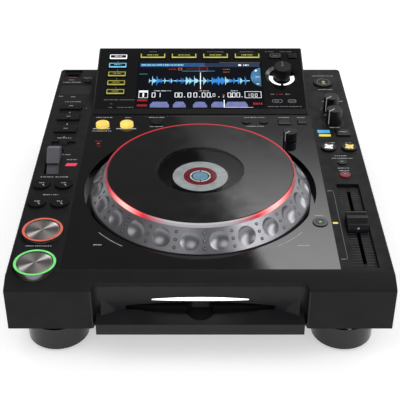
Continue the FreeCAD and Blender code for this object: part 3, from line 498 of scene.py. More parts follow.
def finish_nodes():
    """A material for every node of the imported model, and softened edges."""
    loop_light = lit("loop_yellow", tone(255, 222, 108), 0.9)
    finishes = {
        "upper_case": (CASE, 0.0),
        "lower_case": (POWDER, 0.3),
        "deck_plate": (DECK_GLOSS, 0.0),
        "slot_bezel": (SATIN, 0.35),
        "slot_light": (lit("slot_white", tone(255, 255, 255), 2.2), 0.0),
        "feet": (FOOT, 0.6),
        "display_housing": (CASE, 0.3),
        "display_panel": (DECK_GLOSS, 0.0),
        "lcd_screen": (screen_glass(), 0.0),
        "jog_display": (BLACK_GLOSS, 0.0),
        "circuit_boards": (SOCKET, 0.0),
        "disc_drive": (STEEL, 0.0),
        "jog_dial": (SILVER, 0.0),
        "jog_plate": (gloss("jog_plate_gloss", tone(20, 20, 22), 0.09), 0.15),
        "jog_window": (smoked("window_smoke", tone(6, 6, 8), 0.3), 0.0),
        "loop_in_button": (loop_light, 1.6),
        "loop_out_button": (loop_light, 1.6),
        "cue_button": (CHROME, 0.2),
        "play_button": (CHROME, 0.2),
        "touch_knob": (KNOB, 0.4),
        "release_knob": (KNOB, 0.4),
        "jog_adjust_knob": (KNOB, 0.4),
        "selector_knob": (KNOB, 0.5),
        "selector_stem": (BLACK_GLOSS, 0.2),
        "tempo_fader": (SATIN, 0.5),
        "direction_lever": (LEVER, 0.6),
        "card_door": (SATIN, 0.2),
        "master_tempo_button": (lit("dark_red_key", tone(120, 16, 30), 0.6), 0.4),
        "tempo_reset_button": (PILL, 0.5),
        "delete_button": (PILL, 0.8),
        "memory_button": (PILL, 0.8),
        "jog_mode_button": (PILL, 0.5),
    }
    for name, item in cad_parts.items():
        material, edge = finishes.get(name, (KEY, 0.35))
        item.data.materials.clear()
        item.data.materials.append(material)
        soften(item, edge, True)


def grip_sector(shape, index):
    """One of the dial's sloping stretches, with the dished grip in its middle."""
    slope = SHOULDER - SKIRT
    outward = Vector((slope.z, 0, -slope.x)).normalized()
    reach = (SKIRT.x + SHOULDER.x) / 2
    half_wide, half_tall = math.pi * reach / GRIPS, slope.length / 2
    sphere = (GRIP_RADIUS ** 2 + GRIP_DEPTH ** 2) / (2 * GRIP_DEPTH)
    start = math.radians(GRIP_START - 90 + index * 360 / GRIPS)

    def on_cone(across, up, sink):
        point = SKIRT.lerp(SHOULDER, up / slope.length + 0.5) - outward * sink
        angle = start + across / reach
        return point.x * math.cos(angle), point.x * math.sin(angle), point.z

    def sunk(radius):
        return math.sqrt(sphere ** 2 - radius ** 2) - (sphere - GRIP_DEPTH)

    side = 12
    edge = [(half_wide * (2 * k / side - 1), -half_tall) for k in range(side)]
    edge += [(half_wide, half_tall * (2 * k / side - 1)) for k in range(side)]
    edge += [(half_wide * (1 - 2 * k / side), half_tall) for k in range(side)]
    edge += [(-half_wide, half_tall * (1 - 2 * k / side)) for k in range(side)]
    count = len(edge)
    angles = [math.atan2(up, across) for across, up in edge]
    vertices = [on_cone(across, up, 0) for across, up in edge]
    radii = [GRIP_RADIUS + 0.35] + [GRIP_RADIUS * (1 - 0.1 * k) for k in range(10)]
    for radius in radii:
        sink = sunk(radius) if radius < GRIP_RADIUS else 0
        vertices += [on_cone(radius * math.cos(a), radius * math.sin(a), sink) for a in angles]
    vertices.append(on_cone(0, 0, sunk(0)))
    faces = []
    for ring in range(len(radii)):
        first, second = ring * count, (ring + 1) * count
        for i in range(count):
            j = (i + 1) % count
            faces.append((first + i, first + j, second + j, second + i))
    last = len(radii) * count
    faces += [(last + i, last + (i + 1) % count, len(vertices) - 1) for i in range(count)]
    shape.add(vertices, faces)


def jog():
    """The dial with dished grips, studs between them, its lit rim, and the round display in the middle."""
    place = place_at(*JOG_CENTRE, 0)
    dial = Shape(place)
    for index in range(GRIPS):
        grip_sector(dial, index)
    turn = Matrix.Rotation(math.radians(GRIP_START - 90 + 180 / GRIPS), 4, "Z")
    underside, floor_top, hub_top = 73, 78, 86
    bore, hub, seat = 22.05, 26.5, 82
    profile = [
        (103, 77.5), (103, underside), (bore, underside), (bore, hub_top), (hub, hub_top),
        (hub, floor_top), (seat, floor_top), (seat, 94.4), (88.2, 94.4),
    ]
    dial.lathe(profile, GRIPS * 12, turn=turn, closed=False)
    piece = dial.make("jog_dial_turned", SILVER, "jog_dial", "dial", joined=True)
    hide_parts("jog_dial")
    rim = Shape(place).lathe([(86.3, 94.5), (88.15, 94.5), (88.15, 97.5), (87.6, 98.1), (86.3, 98.1)], 216)
    rim.make("jog_rim_light", rim_light(), "jog_dial", "light_guide")

    slope = SHOULDER - SKIRT
    lean = math.atan2(-slope.x, slope.z)
    studs, wells = Shape(place), Shape(place)
    for index in range(GRIPS):
        angle = math.radians(GRIP_START - 90 + 180 / GRIPS + index * 360 / GRIPS)
        for along in (0.2, 0.5, 0.8):
            point = SKIRT.lerp(SHOULDER, along)
            across = Matrix.Rotation(math.pi / 2 - lean, 4, "Y")
            turn = Matrix.Rotation(angle, 4, "Z") @ Matrix.Translation(point) @ across
            wells.lathe([(0.95, -0.1), (1.45, -0.1), (1.45, 0.05), (0.95, 0.05)], 16, turn=turn)
            studs.dome(0, 0, 0.95, -0.1, 0.4, 14, 3, turn=turn)
    studs.make("jog_studs", SILVER, "jog_dial", "dial")
    wells.make("jog_stud_rings", SATIN, "jog_dial", "dial")

    face = 91.12
    rings = [
        ("display_ring_outer", lit("display_white", tone(214, 222, 222), 0.8), 15.5, 25.6),
        ("display_ring_red", lit("dark_red_ring", tone(158, 24, 46), 0.8), 10.6, 15.5),
        ("display_ring_inner", lit("display_hub", tone(240, 246, 250), 0.95), 8.2, 9.8),
    ]
    for name, material, inner, outer in rings:
        Shape(place).ring(0, 0, inner, outer, face, face + 0.12).make(name, material, "root", "light_guide")
    centre = Shape(place).lathe([(0.01, face), (7.2, face), (7.2, face + 0.1), (0.01, face + 0.1)], 40)
    centre.make("display_centre", lit("pale_blue", tone(150, 200, 228), 0.85), "root", "light_guide")
    ticks = Shape(place)
    for index in range(4):
        ticks.bar(0, 8.6, 0.9, 3.6, face + 0.12, face + 0.2, Matrix.Rotation(math.pi / 2 * index, 4, "Z"))
    ticks.make("display_ticks", BLACK_GLOSS, "root", "centre_display")


def transport():
    """Lit rings, and turned metal caps with a painted highlight in their base colour, on the two large
    buttons.
    """
    for name, glow in (("cue_button", LIT_CUE), ("play_button", LIT_GREEN)):
        x, y, top = middle(name)
        place = place_at(x, y, 0)
        foot, crest = 82.0, top + 0.15
        profile = [
            (15.1, foot), (17.85, foot), (17.8, top - 0.1),
            (17.3, crest), (15.7, crest), (15.15, top - 0.2),
        ]
        Shape(place).lathe(profile, 96).make(f"{name}_ring", glow, name)
        cap_low = top - 0.58
        cap = Shape(place).dome(0, 0, 14.6, cap_low, cap_low + 0.7, 96, 10)
        cap.make(f"{name}_cap", brushed(f"{name}_metal", tone(104, 98, 96)), name)


def small_metal_caps():
    """Turned metal caps on the sync and master buttons, with a painted highlight in their material, and a
    cross of glowing bars over them: partly the buttons' own light, partly a painted highlight in the cross
    shape that turned metal shows.
    """
    for name, colour in (("sync_button", tone(235, 235, 235)), ("master_button", tone(236, 206, 110))):
        x, y, top = middle(name)
        cap = Shape(place_at(x, y, 0)).dome(0, 0, 6.6, top - 0.35, top + 0.1, 48, 6)
        cap.make(f"{name}_cap", brushed(f"{name}_metal", colour, 0.26), name)
        # Glowing cross: the button's light, laid out as a painted highlight in the cross shape of the cap's
        # sheen.
        cross = Shape(place_at(x, y, 0))
        for turn in (35, 125):
            highlight_wedge = Matrix.Rotation(math.radians(turn), 4, "Z")
            cross.bar(0, 0, 2, 10.5, top + 0.1, top + 0.13, highlight_wedge)
        cross.make(f"{name}_glow", lit(f"{name}_light", colour, 1.0), name)


def slope_buttons():
    """Lit outlines on the display's source and menu buttons."""
    glows = [LIT_WHITE, LIT_CYAN, LIT_OLIVE, LIT_OLIVE, LIT_OLIVE]
    for index, glow in enumerate(glows, start=1):
        name = f"source_button_{index}"
        low_u, low_v, high_u, high_v, face = slope_block(name)
        shape = Shape(SLOPE)
        edges = (low_u + 1.1, low_v + 1, high_u - 1.1, high_v - 1)
        shape.outline(*edges, 0.9, 2.1, 0.8, face - 0.05, face + PRINT)
        words(shape, (low_u + high_u) / 2, (low_v + high_v) / 2 + 1, 8, face, 1.2)
        shape.make(f"{name}_outline", glow, name)
    for index in range(1, 5):
        name = f"menu_button_{index}"
        low_u, low_v, high_u, high_v, face = slope_block(name)
        across = (low_u + high_u) / 2
        shape = Shape(SLOPE)
        shape.bar(across, low_v + 2, high_u - low_u - 2.6, 1.9, face - 0.05, face + PRINT)
        for side in (-1, 1):
            edge = across + side * (high_u - low_u - 3.6) / 2
            shape.bar(edge, low_v + 5.6, 1, 5.4, face - 0.05, face + PRINT)
        words(shape, across, low_v + 6.2, 13, face, 1.4)
        shape.make(f"{name}_outline", lit(f"menu_light_{index}", tone(205, 204, 92), 0.85), name)
    low_u, low_v, high_u, high_v, face = slope_block("back_button")
    shape = Shape(SLOPE)
    edges = (low_u + 0.9, low_v + 0.9, high_u - 0.9, high_v - 0.9)
    shape.outline(*edges, 0.5, 0.5, 2, face - 0.05, face + PRINT)
    shape.bar((low_u + high_u) / 2, (low_v + high_v) / 2 - 0.4, 6, 0.9, face, face + PRINT)
    shape.make("back_button_outline", GREY_PRINT, "back_button")


def digit(shape, x, y, height, value, low):
    """A seven-part numeral."""
    segments = {0: "abcdef", 1: "bc", 2: "abged", 3: "abgcd", 4: "fgbc", 5: "afgcd", 6: "afgedc", 7: "abc",
                8: "abcdefg", 9: "abcdfg"}
    wide, thick = height * 0.46, height * 0.09
    bars = {
        "a": (0, height / 2, wide, thick),
        "g": (0, 0, wide, thick),
        "d": (0, -height / 2, wide, thick),
        "f": (-wide / 2, height / 4, thick, height / 2),
        "b": (wide / 2, height / 4, thick, height / 2),
        "e": (-wide / 2, -height / 4, thick, height / 2),
        "c": (wide / 2, -height / 4, thick, height / 2),
    }
    for part in segments[value]:
        dx, dy, width, tall = bars[part]
        shape.bar(x + dx, y + dy, width, tall, low, low + PRINT)


def waveform(face):
    """A generic music-like envelope: bursts that rise at once and die away, and quiet between them."""
    pale, deep = Shape(SLOPE), Shape(SLOPE)
    bursts = []
    start = -56.0
    while start < 52:
        bursts.append((start, random.uniform(0.3, 1.0), random.uniform(0.8, 3.6), random.random() < 0.45))
        start += random.uniform(1.6, 6.5)
    position = -56.0
    while position < 54:
        level, strong = 0.08, False
        for start, peak, fall, is_deep in bursts:
            if position >= start:
                tail = 1 if position < start + fall * 1.6 else 0.3
                reach = peak * math.exp(-(position - start) / fall) * tail
                if reach > level:
                    level, strong = reach, is_deep
        height = 20.5 * min(1, level * random.uniform(0.55, 1.1))
        (deep if strong else pale).bar(position, 48.5, 0.5, height, face, face + PRINT)
        position += 0.48
    deep.make("screen_wave_deep", SCREEN_BLUE, "root", "screen")
    pale.make("screen_wave_pale", SCREEN_PALE, "root", "screen")


def screen_lens(face):
    """The round blue control that shows at the screen's right edge, cut off by it."""
    limit, middle_u, wide, tall = 66.6, 68, 12.5, 16
    outline = []
    for u, v in arc(middle_u, 55, tall, 90, 270, 32):
        outline.append((min(middle_u + wide * (u - middle_u) / tall, limit), v))
    lens = Shape(SLOPE).plate(outline, face, face + 0.05)
    lens.make("screen_lens", lit("lens_blue", tone(58, 118, 160), 0.75, 60, 0.5), "root", "screen")
    marks = Shape(SLOPE)
    bars = ((61.6, 66, 3, 0.9), (61.6, 66, 0.9, 3.6), (63, 43.2, 3.2, 0.9), (63, 55, 4.4, 0.5))
    for u, v, width, height in bars:
        marks.bar(u, v, width, height, face + 0.06, face + 0.12)
    marks.make("screen_lens_marks", LIT_WHITE, "root", "screen")


def screen_readings(face):
    """Generic numerals and small status rows."""
    white = Shape(SLOPE).bar(0.2, 48.5, 0.8, 28, face, face + 0.1)
    numbers = [(-50.5, 0), (-45, 1), (-25.7, 0), (-21.3, 0), (-11.8, 0), (-5.4, 0), (3.6, 0), (9, 0)]
    numbers += [(31.4, 0), (36.2, 0), (41, 0)]
    for x, value in numbers:
        digit(white, x, 24.8, 7.0, value, face)
    for x, value in ((14.8, 0), (51.6, 1), (56, 0), (60.4, 0)):
        digit(white, x, 24.6, 4.6, value, face)
    for x, width in ((-45, 10), (-36, 9), (4, 10), (37, 8)):
        words(white, x, 31.6, width, face, 0.7)
    for x in (-17, -0.8, 12, 20, 25, 33.9, 45):
        white.bar(x, 21.6, 1, 1, face, face + PRINT)
    white.frame(rounded(-66.6, 20, -56.6, 32, 0.3), rounded(-66.1, 20.5, -57.1, 29, 0.2), face, face + PRINT)
    white.frame(rounded(48, 20, 66, 30.6, 0.3), rounded(48.5, 20.5, 65.5, 30.1, 0.2), face, face + PRINT)
    white.bar(-61.6, 24.6, 1.6, 6, face, face + PRINT).bar(44, 75.6, 3, 2.6, face, face + PRINT)
    words(white, 51, 75.6, 6, face, 2.2)
    white.make("screen_white", LIT_WHITE, "root", "screen")


def screen():
    """Generic readings on the screen: header, rows of marks, waveform, numerals and overview."""
    face = SCREEN_FACE + 0.01
    waveform(face)
    screen_lens(face)
    screen_readings(face)
    header = Shape(SLOPE).bar(-31, 75.9, 72, 7, face, face + 0.02)
    header.make("screen_header", lit("header_blue", tone(20, 84, 136), 0.75), "root", "screen")
    dim = Shape(SLOPE).bar(35.5, 75.9, 61, 7, face, face + 0.02)
    dim.make("screen_header_end", lit("header_dim", tone(10, 40, 74), 0.7), "root", "screen")
    title = words(Shape(SLOPE), -42, 75.8, 47, face + 0.02, 2.6)
    title.make("screen_title", SCREEN_PALE, "root", "screen")
    # A grey line along the screen's top edge, where its bevel meets the panel: the bevel is real, and its
    # light grey is a painted highlight.
    edge = Shape(SLOPE).bar(44, 80.1, 46, 0.7, face, face + PRINT)
    edge.make("screen_top_edge_highlight", GREY_PRINT, "root", "screen")

    teal = Shape(SLOPE).bar(-2, 65.2, 36, 0.8, face, face + PRINT).bar(3, 65, 9, 1.3, face, face + 0.09)
    teal.bar(-63, 60, 9, 0.8, face, face + PRINT).bar(-3, 3.8, 112, 0.4, face, face + PRINT)
    teal.make("screen_teal", lit("teal", tone(70, 150, 160), 0.7), "root", "screen")
    red = words(Shape(SLOPE), -31, 68.4, 8, face, 2)
    red.bar(-4, 69, 24, 0.5, face, face + PRINT)
    red.frame(arc(3.4, 69, 5.2, 0, 360, 24)[:-1], arc(3.4, 69, 4.7, 0, 360, 24)[:-1], face, face + PRINT)
    for v in (16.2, 7.8):
        red.bar(-62.4, v, 11, 2.8, face, face + PRINT)
    words(red, 61.6, 10.6, 9.6, face, 3.6)
    words(red, 1, 31.6, 14, face, 0.7)
    red.make("screen_red", SCREEN_RED, "root", "screen")
    orange = Shape(SLOPE)
    outer, inner = rounded(-24.6, 66.6, -20.2, 70.8, 0.4), rounded(-23.8, 67.4, -21, 70, 0.3)
    orange.frame(outer, inner, face, face + PRINT)
    words(orange, 29, 68.2, 8, face, 1.2)
    words(orange, 29, 63.4, 7, face, 1.2)
    orange.bar(25.2, 24.6, 2, 1.6, face, face + PRINT)
    orange.make("screen_orange", SCREEN_ORANGE, "root", "screen")

    overview = Shape(SLOPE)
    blocks = [(-53.6, -33.4), (-29, -15.5), (-7.5, 7), (12, 26), (27, 51)]
    for low_u, high_u in blocks:
        position = low_u
        while position < high_u:
            rise = min(1, 0.55 + (position - low_u) / 6, 0.35 + (high_u - position) / 4)
            height = 9.4 * rise * random.uniform(0.93, 1)
            overview.bar(position, 4.6 + height / 2, 0.62, height, face, face + PRINT)
            position += 0.6
    overview.make("screen_overview", lit("lavender", tone(120, 128, 186), 0.75), "root", "screen")
    bracket = Shape(SLOPE).bar(25.6, 10.4, 0.9, 13, face, face + 0.09)
    bracket.bar(41, 4.2, 31, 1.2, face, face + 0.09)
    bracket.make("screen_bracket", LIT_WHITE, "root", "screen")


def selector_well():
    """The lit ring on the floor of the selector's well, drawn as two crescents with a gap at its front as
    painted shade, and the knob's pointer line.
    """
    dish = Shape(SLOPE)
    # The gap at the front is painted shade where the knob's flutes darken the ring; the rear stretch, hidden
    # behind the knob, is left out.
    for start, end in ((160, 262), (278, 380)):
        dish.plate(arc(90, 57, 14.2, start, end) + arc(90, 57, 9.6, start, end)[::-1], -4.38, -4.2)
    dish.make("selector_light", LIT_WHITE, "root", "light_guide")
    pointer = Shape(SLOPE).bar(90, 62, 0.8, 6.5, 12.98, 13.06)
    pointer.bar(90, 58.4, 2, 1.6, 12.98, 13.06)
    pointer.make("selector_pointer", GREY_PRINT, "selector_knob")


def knob_lines():
    """White pointer lines over the knobs' tops and down their sides, and ticks round them."""
    ticks = Shape()
    for name in ("touch_knob", "release_knob", "jog_adjust_knob"):
        low, high = low_high(name)
        radius = (high.x - low.x) / 2
        x, y = low.x + radius, low.y + radius
        turn = Matrix.Rotation(math.radians(132), 4, "Z")
        line = Shape(place_at(x, y, 0)).bar(0, radius / 2 + 0.4, 1.1, radius, high.z, high.z + 0.1, turn)
        line.bar(0, radius + 0.03, 1.1, 0.2, DECK_TOP + 0.6, high.z + 0.05, turn)
        line.make(f"{name}_pointer", WHITE_PRINT, name)
        for step in range(11):
            angle = Matrix.Translation((x, y, 0)) @ Matrix.Rotation(math.radians(-150 + 30 * step), 4, "Z")
            ticks.bar(0, radius + 2.6, 0.4, 1.4, DECK_TOP, DECK_TOP + PRINT, angle)
    ticks.make("knob_ticks", GREY_PRINT)


def deck_lights():
    """Small indicator lights on the deck and the display."""
    lights = [
        ("reverse_light", LIT_PINK, [(-131, -11.2), (-120.4, -11.2), (-119.2, -6), (-129.6, -6)]),
        ("hold_light", LIT_BLUE, rounded(120.2, 53.4, 132.8, 59.6, 0.6)),
        ("sync_light", LIT_YELLOW, rounded(121, 46.4, 133, 51, 0.6)),
        ("tempo_light", LIT_YELLOW, rounded(117, -108.6, 121.4, -106, 0.5)),
        ("stick_light", RED_PRINT, rounded(-150, 180.4, -140.4, 181.6, 0.4)),
        ("vinyl_light", LIT_RED, rounded(-104, 31, -101, 33.4, 0.6)),
    ]
    for name, material, outline in lights:
        Shape().plate(outline, DECK_TOP - 0.1, DECK_TOP + 0.12).make(name, material, "root", "light_guide")
    x, y, top = middle("jog_mode_button")
    ring = Shape(place_at(x, y, 0)).ring(0, 0, 6.6, 7.2, top, top + PRINT)
    ring.make("jog_mode_ring", GREY_PRINT, "jog_mode_button")
    centre = Shape(place_at(x, y, 0)).dome(0, 0, 1.7, top, top + 0.3, 20, 3)
    centre.bar(0, -4.4, 4, 1, top, top + PRINT)
    centre.make("jog_mode_light", lit("lime", tone(190, 196, 110), 0.9), "jog_mode_button")
    x, y, top = middle("tempo_reset_button")
    ring = Shape(place_at(x, y, 0)).ring(0, 0, 3.2, 3.8, top, top + PRINT)
    ring.make("tempo_reset_ring", SATIN, "tempo_reset_button")
    dot = Shape(place_at(x, y, 0)).dome(0, 0, 0.9, top, top + 0.2, 16, 3)
    dot.make("tempo_reset_dot", LIT_GREEN, "tempo_reset_button")


def keycap_marks():
    """Small generic marks on the round and square keys."""
    marks = {
        "track_back_button": 5, "track_forward_button": 5,
        "search_back_button": 5, "search_forward_button": 5,
        "hot_cue_button_1": 4, "hot_cue_button_2": 4, "hot_cue_button_3": 4, "slip_button": 9,
        "tempo_range_button": 2, "master_tempo_button": 2,
    }
    for name, width in marks.items():
        x, y, top = middle(name)
        shape = words(Shape(place_at(x, y, 0)), 0, 0.6, width, top, 1.1)
        if name.startswith(("track", "search")):
            slant = Matrix.Translation((2, -3, 0)) @ Matrix.Rotation(math.radians(35), 4, "Z")
            shape.bar(0, 0, 0.9, 3, top, top + PRINT, slant)
        shape.make(f"{name}_marks", WHITE_PRINT, name)


def deck_prints():
    """Generic label dashes and scale lines printed on the case and the plate."""
    labels = Shape()
    for x, y, width in (
        (-101, 86.5, 17), (-76, 86.5, 6), (-101, 57.5, 20), (-45.5, 67, 14), (-46, 86.5, 16),
        (57, 67.5, 18), (88, 86.5, 12), (106, 86.5, 9), (57, 86.5, 22),
        (-138, 122, 17), (-138, 43.2, 14), (-133, 10.2, 10), (-125.4, 0.7, 10),
        (-145.5, -31, 12), (-131, -31, 13), (-138, -61.8, 14), (-138, -141.6, 22),
        (-127, 180, 10), (-145, 174.8, 6), (-144, 169, 20), (-152.4, 135, 5), (-139, 133.5, 5),
        (139, 151, 16), (139, 185, 24), (139, 123, 14), (152, 123, 6), (139, 92, 16), (139, 65, 10),
        (131, 33.6, 9), (149, 33.6, 6), (138, 8, 12), (139, 3.4, 20), (138, -15, 11), (138, -19.6, 9),
        (106, -96, 8), (88, -141, 10), (-88, -140, 7), (-122, 107, 0.6),
    ):
        words(labels, x, y, width, DECK_TOP, 1.2)
    for y in (98.7, 73, 46.4):
        labels.bar(-138.5, y - 1, 0.7, 3, DECK_TOP, DECK_TOP + PRINT)
    for x, width in ((-102, 17.5), (-76.4, 20.5)):
        labels.bar(x, 62.6, width, 1.8, DECK_TOP, DECK_TOP + PRINT)
    for start, end in ((219.8, 234.7), (305.3, 320.2)):
        outline = arc(*JOG_CENTRE, 115.4, start, end) + arc(*JOG_CENTRE, 114.9, start, end)[::-1]
        labels.plate(outline, DECK_TOP, DECK_TOP + PRINT)
    for offset, width in ((52.5, 4.5), (0, 3), (-52.5, 4.5)):
        labels.bar(122.4 - width / 2, -107.7 + offset, width, 0.5, DECK_TOP, DECK_TOP + PRINT)
    labels.make("deck_labels", WHITE_PRINT)
    faint = Shape().bar(123.4, -107.7, 0.35, 105, DECK_TOP, DECK_TOP + PRINT)
    for step in range(36):
        faint.bar(-58 + 3.3 * step, 89, 1.1, 0.5, DECK_TOP, DECK_TOP + PRINT)
    faint.make("faint_marks", GREY_PRINT)
    red = words(Shape(), -102, 37, 8, DECK_TOP, 1.2)
    words(red, -101, 27, 5, DECK_TOP, 1)
    words(red, -138, 117.8, 12, DECK_TOP, 0.7)
    red.make("red_marks", RED_PRINT)


def slope_prints():
    """Generic marks printed on the display panel."""
    white = Shape(SLOPE)
    for x, v, width in ((-96, 16.3, 15), (-79, 16.3, 16), (-96, 4, 4), (-80, 4, 17), (90, 5.5, 36)):
        words(white, x, v, width, 0, 1.2)
    words(white, 78, 25.4, 4, 0, 1.8)
    words(white, 94.5, 25.4, 5, 0, 1.8)
    for low, high in ((77, 88.4), (94, 103)):
        outer, inner = rounded(low, 11.6, high, 17, 2.4), rounded(low + 0.7, 12.3, high - 0.7, 16.3, 1.8)
        white.frame(outer, inner, 0, PRINT)
        words(white, (low + high) / 2, 14.3, 6, 0, 1.6)
    for v in (81.2, 66.2, 51.1, 36.2):
        white.bar(-92, v, 0.6, 2.6, 0, PRINT)
    for x, width in ((-53.3, 8), (17.1, 19), (52.7, 16), (78, 10), (97, 14)):
        words(white, x, 98.8, width, 0, 0.9)
    white.make("panel_marks", GREY_PRINT, "root", "gloss_deck")
    red = words(Shape(SLOPE), 85.8, 25.4, 7, 0, 1.4)
    words(red, -95.4, 10, 2.4, 0, 1.6)
    red.make("panel_red_marks", RED_PRINT, "root", "gloss_deck")


def fader_marks():
    """Lines on the floor of the fader's recess, and the front dot on its cap."""
    x = middle("tempo_fader")[0]
    low = low_high("tempo_fader")[0]
    Shape().bar(x, low.y - 0.03, 1.6, 0.2, 80.6, 82.2).make("fader_dot", WHITE_PRINT, "tempo_fader")
    lines = Shape()
    for step in range(-16, 17):
        for side in (-1, 1):
            lines.bar(138 + side * 6.1, -107.7 + step * 3.8, 8.4, 0.5, 76.5, 76.5 + PRINT)
    lines.make("fader_floor_lines", ink("faint_print", tone(60, 60, 66)))


def screws():
    """Screw heads of the tray and of the rear panel, with black bars on them as painted shade of their cross
    recesses.
    """
    heads, recess_shade_bars = Shape(), Shape()
    down = Matrix.Rotation(math.pi, 4, "X")
    back = Matrix.Rotation(-math.pi / 2, 4, "X")
    places = [(Matrix.Translation((x, y, 34)) @ down, 2.6) for x in (-151, 151) for y in (-120, -30, 60, 150)]
    places += [(Matrix.Translation((x, y, 25)) @ down, 2.6) for x in (-60, 60) for y in (-100, 60, 130)]
    rear = [(x, z) for x in (-126, -30, 30, 126) for z in (43, 70)] + [(84, 54), (120, 54)]
    places += [(Matrix.Translation((x, PANEL_BACK, z)) @ back, 2.2) for x, z in rear]
    for place, radius in places:
        heads.dome(0, 0, radius, 0, 1.2, 24, 4, turn=place)
        # Black bars over each head: painted shade where the cross recess lies.
        for width, height in ((0.5, 2.4), (2.4, 0.5)):
            recess_shade_bars.bar(0, 0, width, height, 1.1, 1.24, place)
    heads.make("case_screws", SCREW, "root", "metal_tray", joined=True)
    recess_shade_bars.make("case_screw_recess_shade", BLACK_GLOSS, "root", "metal_tray")


def rear_sockets():
    """Contacts inside the rear sockets, coloured rings at the signal sockets, and generic marks over them."""
    pins = Shape()
    for x, z in ((96, 54.4), (108, 54.4), (102, 51)):
        pins.bar(x, 184, 1.6, 9, z - 2.2, z + 2.2)
    for index in range(8):
        pins.bar(8.4 + index * 1.6, 184, 0.5, 8, 60, 60.5)
    pins.bar(-12, 185, 4.6, 10, 53, 54.4)
    pins.make("socket_contacts", GOLD, "root", "board")
    rear = Matrix.Rotation(-math.pi / 2, 4, "X")
    collars = ((-112, tone(190, 190, 190)), (-94, tone(150, 26, 30)), (-76, tone(176, 96, 30)))
    for index, (x, colour) in enumerate(collars, start=1):
        turn = Matrix.Translation((x, PANEL_BACK, 55)) @ rear
        collar = Shape().lathe([(4.9, 0), (6.3, 0), (6.3, 0.8), (4.9, 0.8)], 40, turn=turn)
        finish = plastic(f"collar_{index}", colour, 0.4)
        collar.make(f"signal_socket_ring_{index}", finish, "root", "board")
    marks = Shape()
    upright = Matrix.Translation((0, PANEL_BACK, 0)) @ rear
    for x, width in ((-112, 12), (-94, 12), (-76, 12), (-48, 10), (-12, 9), (14, 12), (70, 12), (102, 18)):
        words(marks, x, -67.5, width, 0, 1.2, upright)
    marks.make("rear_marks", WHITE_PRINT, "root", "metal_tray")


def floor():
    """White floor with soft shadows."""
    mesh = bpy.data.meshes.new("floor")
    half = 4.0
    corners = [(-half, -half, 0), (half, -half, 0), (half, half, 0), (-half, half, 0)]
    mesh.from_pydata(corners, [], [(0, 1, 2, 3)])
    item = bpy.data.objects.new("floor", mesh)
    bpy.context.collection.objects.link(item)
    graph = Graph("floor_white", Roughness=0.9)
    path = graph.node("LightPath")
    seen = graph.math("MAXIMUM", path.outputs["Is Camera Ray"], path.outputs["Is Glossy Ray"])
    seen = graph.math("MAXIMUM", seen, path.outputs["Is Transmission Ray"])
    glow = graph.math("MULTIPLY", seen, FLOOR_GLOW)
    colours = graph.blend(graph.noise(3, 2), (0.78, 0.78, 0.79, 1), (0.82, 0.82, 0.82, 1))
    graph.set(graph.shader, {"Base Color": colours, "Emission Strength": glow})
    graph.set(graph.shader, {"Emission Color": (1, 1, 1, 1)})
    mesh.materials.append(graph.material)


def softbox_edge():
    """The normal of the plane through the mirrored camera and the slanting edge on the deck plate."""
    mirrored = Vector((0, -CAMERA_BACK, 2 * DECK_TOP - CAMERA_HEIGHT))
    rear, front = Vector((-18, 72.5, DECK_TOP)), Vector((55, -173.6, DECK_TOP))
    normal = (front - mirrored).cross(rear - mirrored).normalized()
    return normal if normal.x > 0 else -normal


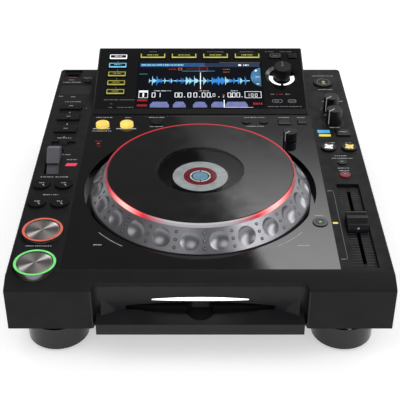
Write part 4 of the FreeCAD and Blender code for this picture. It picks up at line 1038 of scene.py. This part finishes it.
def studio():
    """The surroundings that the gloss mirrors: dark, with a softbox that ends in a slanting edge."""
    world = bpy.data.worlds.new("studio")
    bpy.context.scene.world = world
    world.use_nodes = True
    nodes, links = world.node_tree.nodes, world.node_tree.links

    def node(kind, inputs, **settings):
        item = nodes.new(f"ShaderNode{kind}")
        for key, value in settings.items():
            setattr(item, key, value)
        for key, value in inputs.items():
            if isinstance(value, bpy.types.NodeSocket):
                links.new(value, item.inputs[key])
            else:
                item.inputs[key].default_value = value
        return item

    def ramp(value, start, end, low, high, kind="SMOOTHSTEP"):
        inputs = {"Value": value, "From Min": start, "From Max": end, "To Min": low, "To Max": high}
        return node("MapRange", inputs, interpolation_type=kind).outputs[0]

    direction = node("TexCoord", {}).outputs["Generated"]
    across = node("VectorMath", {0: direction, 1: softbox_edge()}, operation="DOT_PRODUCT").outputs["Value"]
    side = ramp(across, -0.006, 0.006, 0, 1)
    height = node("SeparateXYZ", {0: direction}).outputs[2]
    rise = ramp(height, 0.48, 0.62, 0.25, 3.9)
    fall = ramp(height, 0.64, 0.78, 1.0, 0.5)
    box = node("Math", {0: rise, 1: fall}, operation="MULTIPLY").outputs[0]
    box = node("Math", {0: side, 1: box}, operation="MULTIPLY").outputs[0]
    box = node("Math", {0: box, 1: 0.13}, operation="ADD").outputs[0]
    low = ramp(height, 0.05, 0.3, 0.9, 0.0)
    level = node("Math", {0: low, 1: box}, operation="ADD").outputs[0]
    path = node("LightPath", {})
    mix = {0: path.outputs["Is Diffuse Ray"], 2: level, 3: DIFFUSE_LEVEL}
    soft = node("Mix", mix, data_type="FLOAT").outputs[0]
    strength = node("Mix", {0: path.outputs["Is Camera Ray"], 2: soft, 3: 1.0}, data_type="FLOAT").outputs[0]
    nodes["Background"].inputs["Color"].default_value = (1, 1, 1, 1)
    links.new(strength, nodes["Background"].inputs["Strength"])


def lamps():
    """Soft lamps, and two small red ones over the dial's rim."""
    rows = [
        ("key", (-0.35, -0.55, 1.25), 0.9, 3.5),
        ("rear", (0.5, 0.9, 1.0), 0.8, 1.5),
        ("front", (0.1, -1.3, 0.55), 0.9, 0.4),
        ("low", (0.0, -0.46, 0.16), 0.05, 0.12),
    ]
    for name, place, size, power in rows:
        data = bpy.data.lights.new(name, "AREA")
        data.size = size
        data.energy = power
        lamp = bpy.data.objects.new(name, data)
        bpy.context.collection.objects.link(lamp)
        lamp.location = place
        aim = Vector((0, 0, 0.06)) - Vector(place)
        lamp.rotation_euler = aim.to_track_quat("-Z", "Y").to_euler()
        lamp.visible_camera = False
        lamp.visible_glossy = name == "key"
    for side in (-1, 1):
        data = bpy.data.lights.new("rim_lamp", "POINT")
        data.energy = 0.006
        data.color = (1, 0.08, 0.08)
        data.shadow_soft_size = 0.004
        lamp = bpy.data.objects.new("rim_lamp", data)
        bpy.context.collection.objects.link(lamp)
        lamp.location = Vector((side * 66, JOG_CENTRE[1] - 58, 106)) * MM
        lamp.visible_camera = False
        lamp.visible_glossy = False


def camera():
    """The photograph's viewing angle."""
    data = bpy.data.cameras.new("camera")
    data.sensor_width = 36
    data.lens = 85.68
    data.shift_x = -0.00075
    data.clip_start = 0.01
    item = bpy.data.objects.new("camera", data)
    bpy.context.collection.objects.link(item)
    item.location = (0, -CAMERA_BACK * MM, CAMERA_HEIGHT * MM)
    item.rotation_euler = (math.radians(56.46), 0, 0)
    bpy.context.scene.camera = item


bpy.context.scene.view_settings.view_transform = "Standard"
camera()
floor()
studio()
lamps()
finish_nodes()
jog()
transport()
small_metal_caps()
slope_buttons()
screen()
selector_well()
knob_lines()
deck_lights()
keycap_marks()
deck_prints()
slope_prints()
fader_marks()
screws()
rear_sockets()
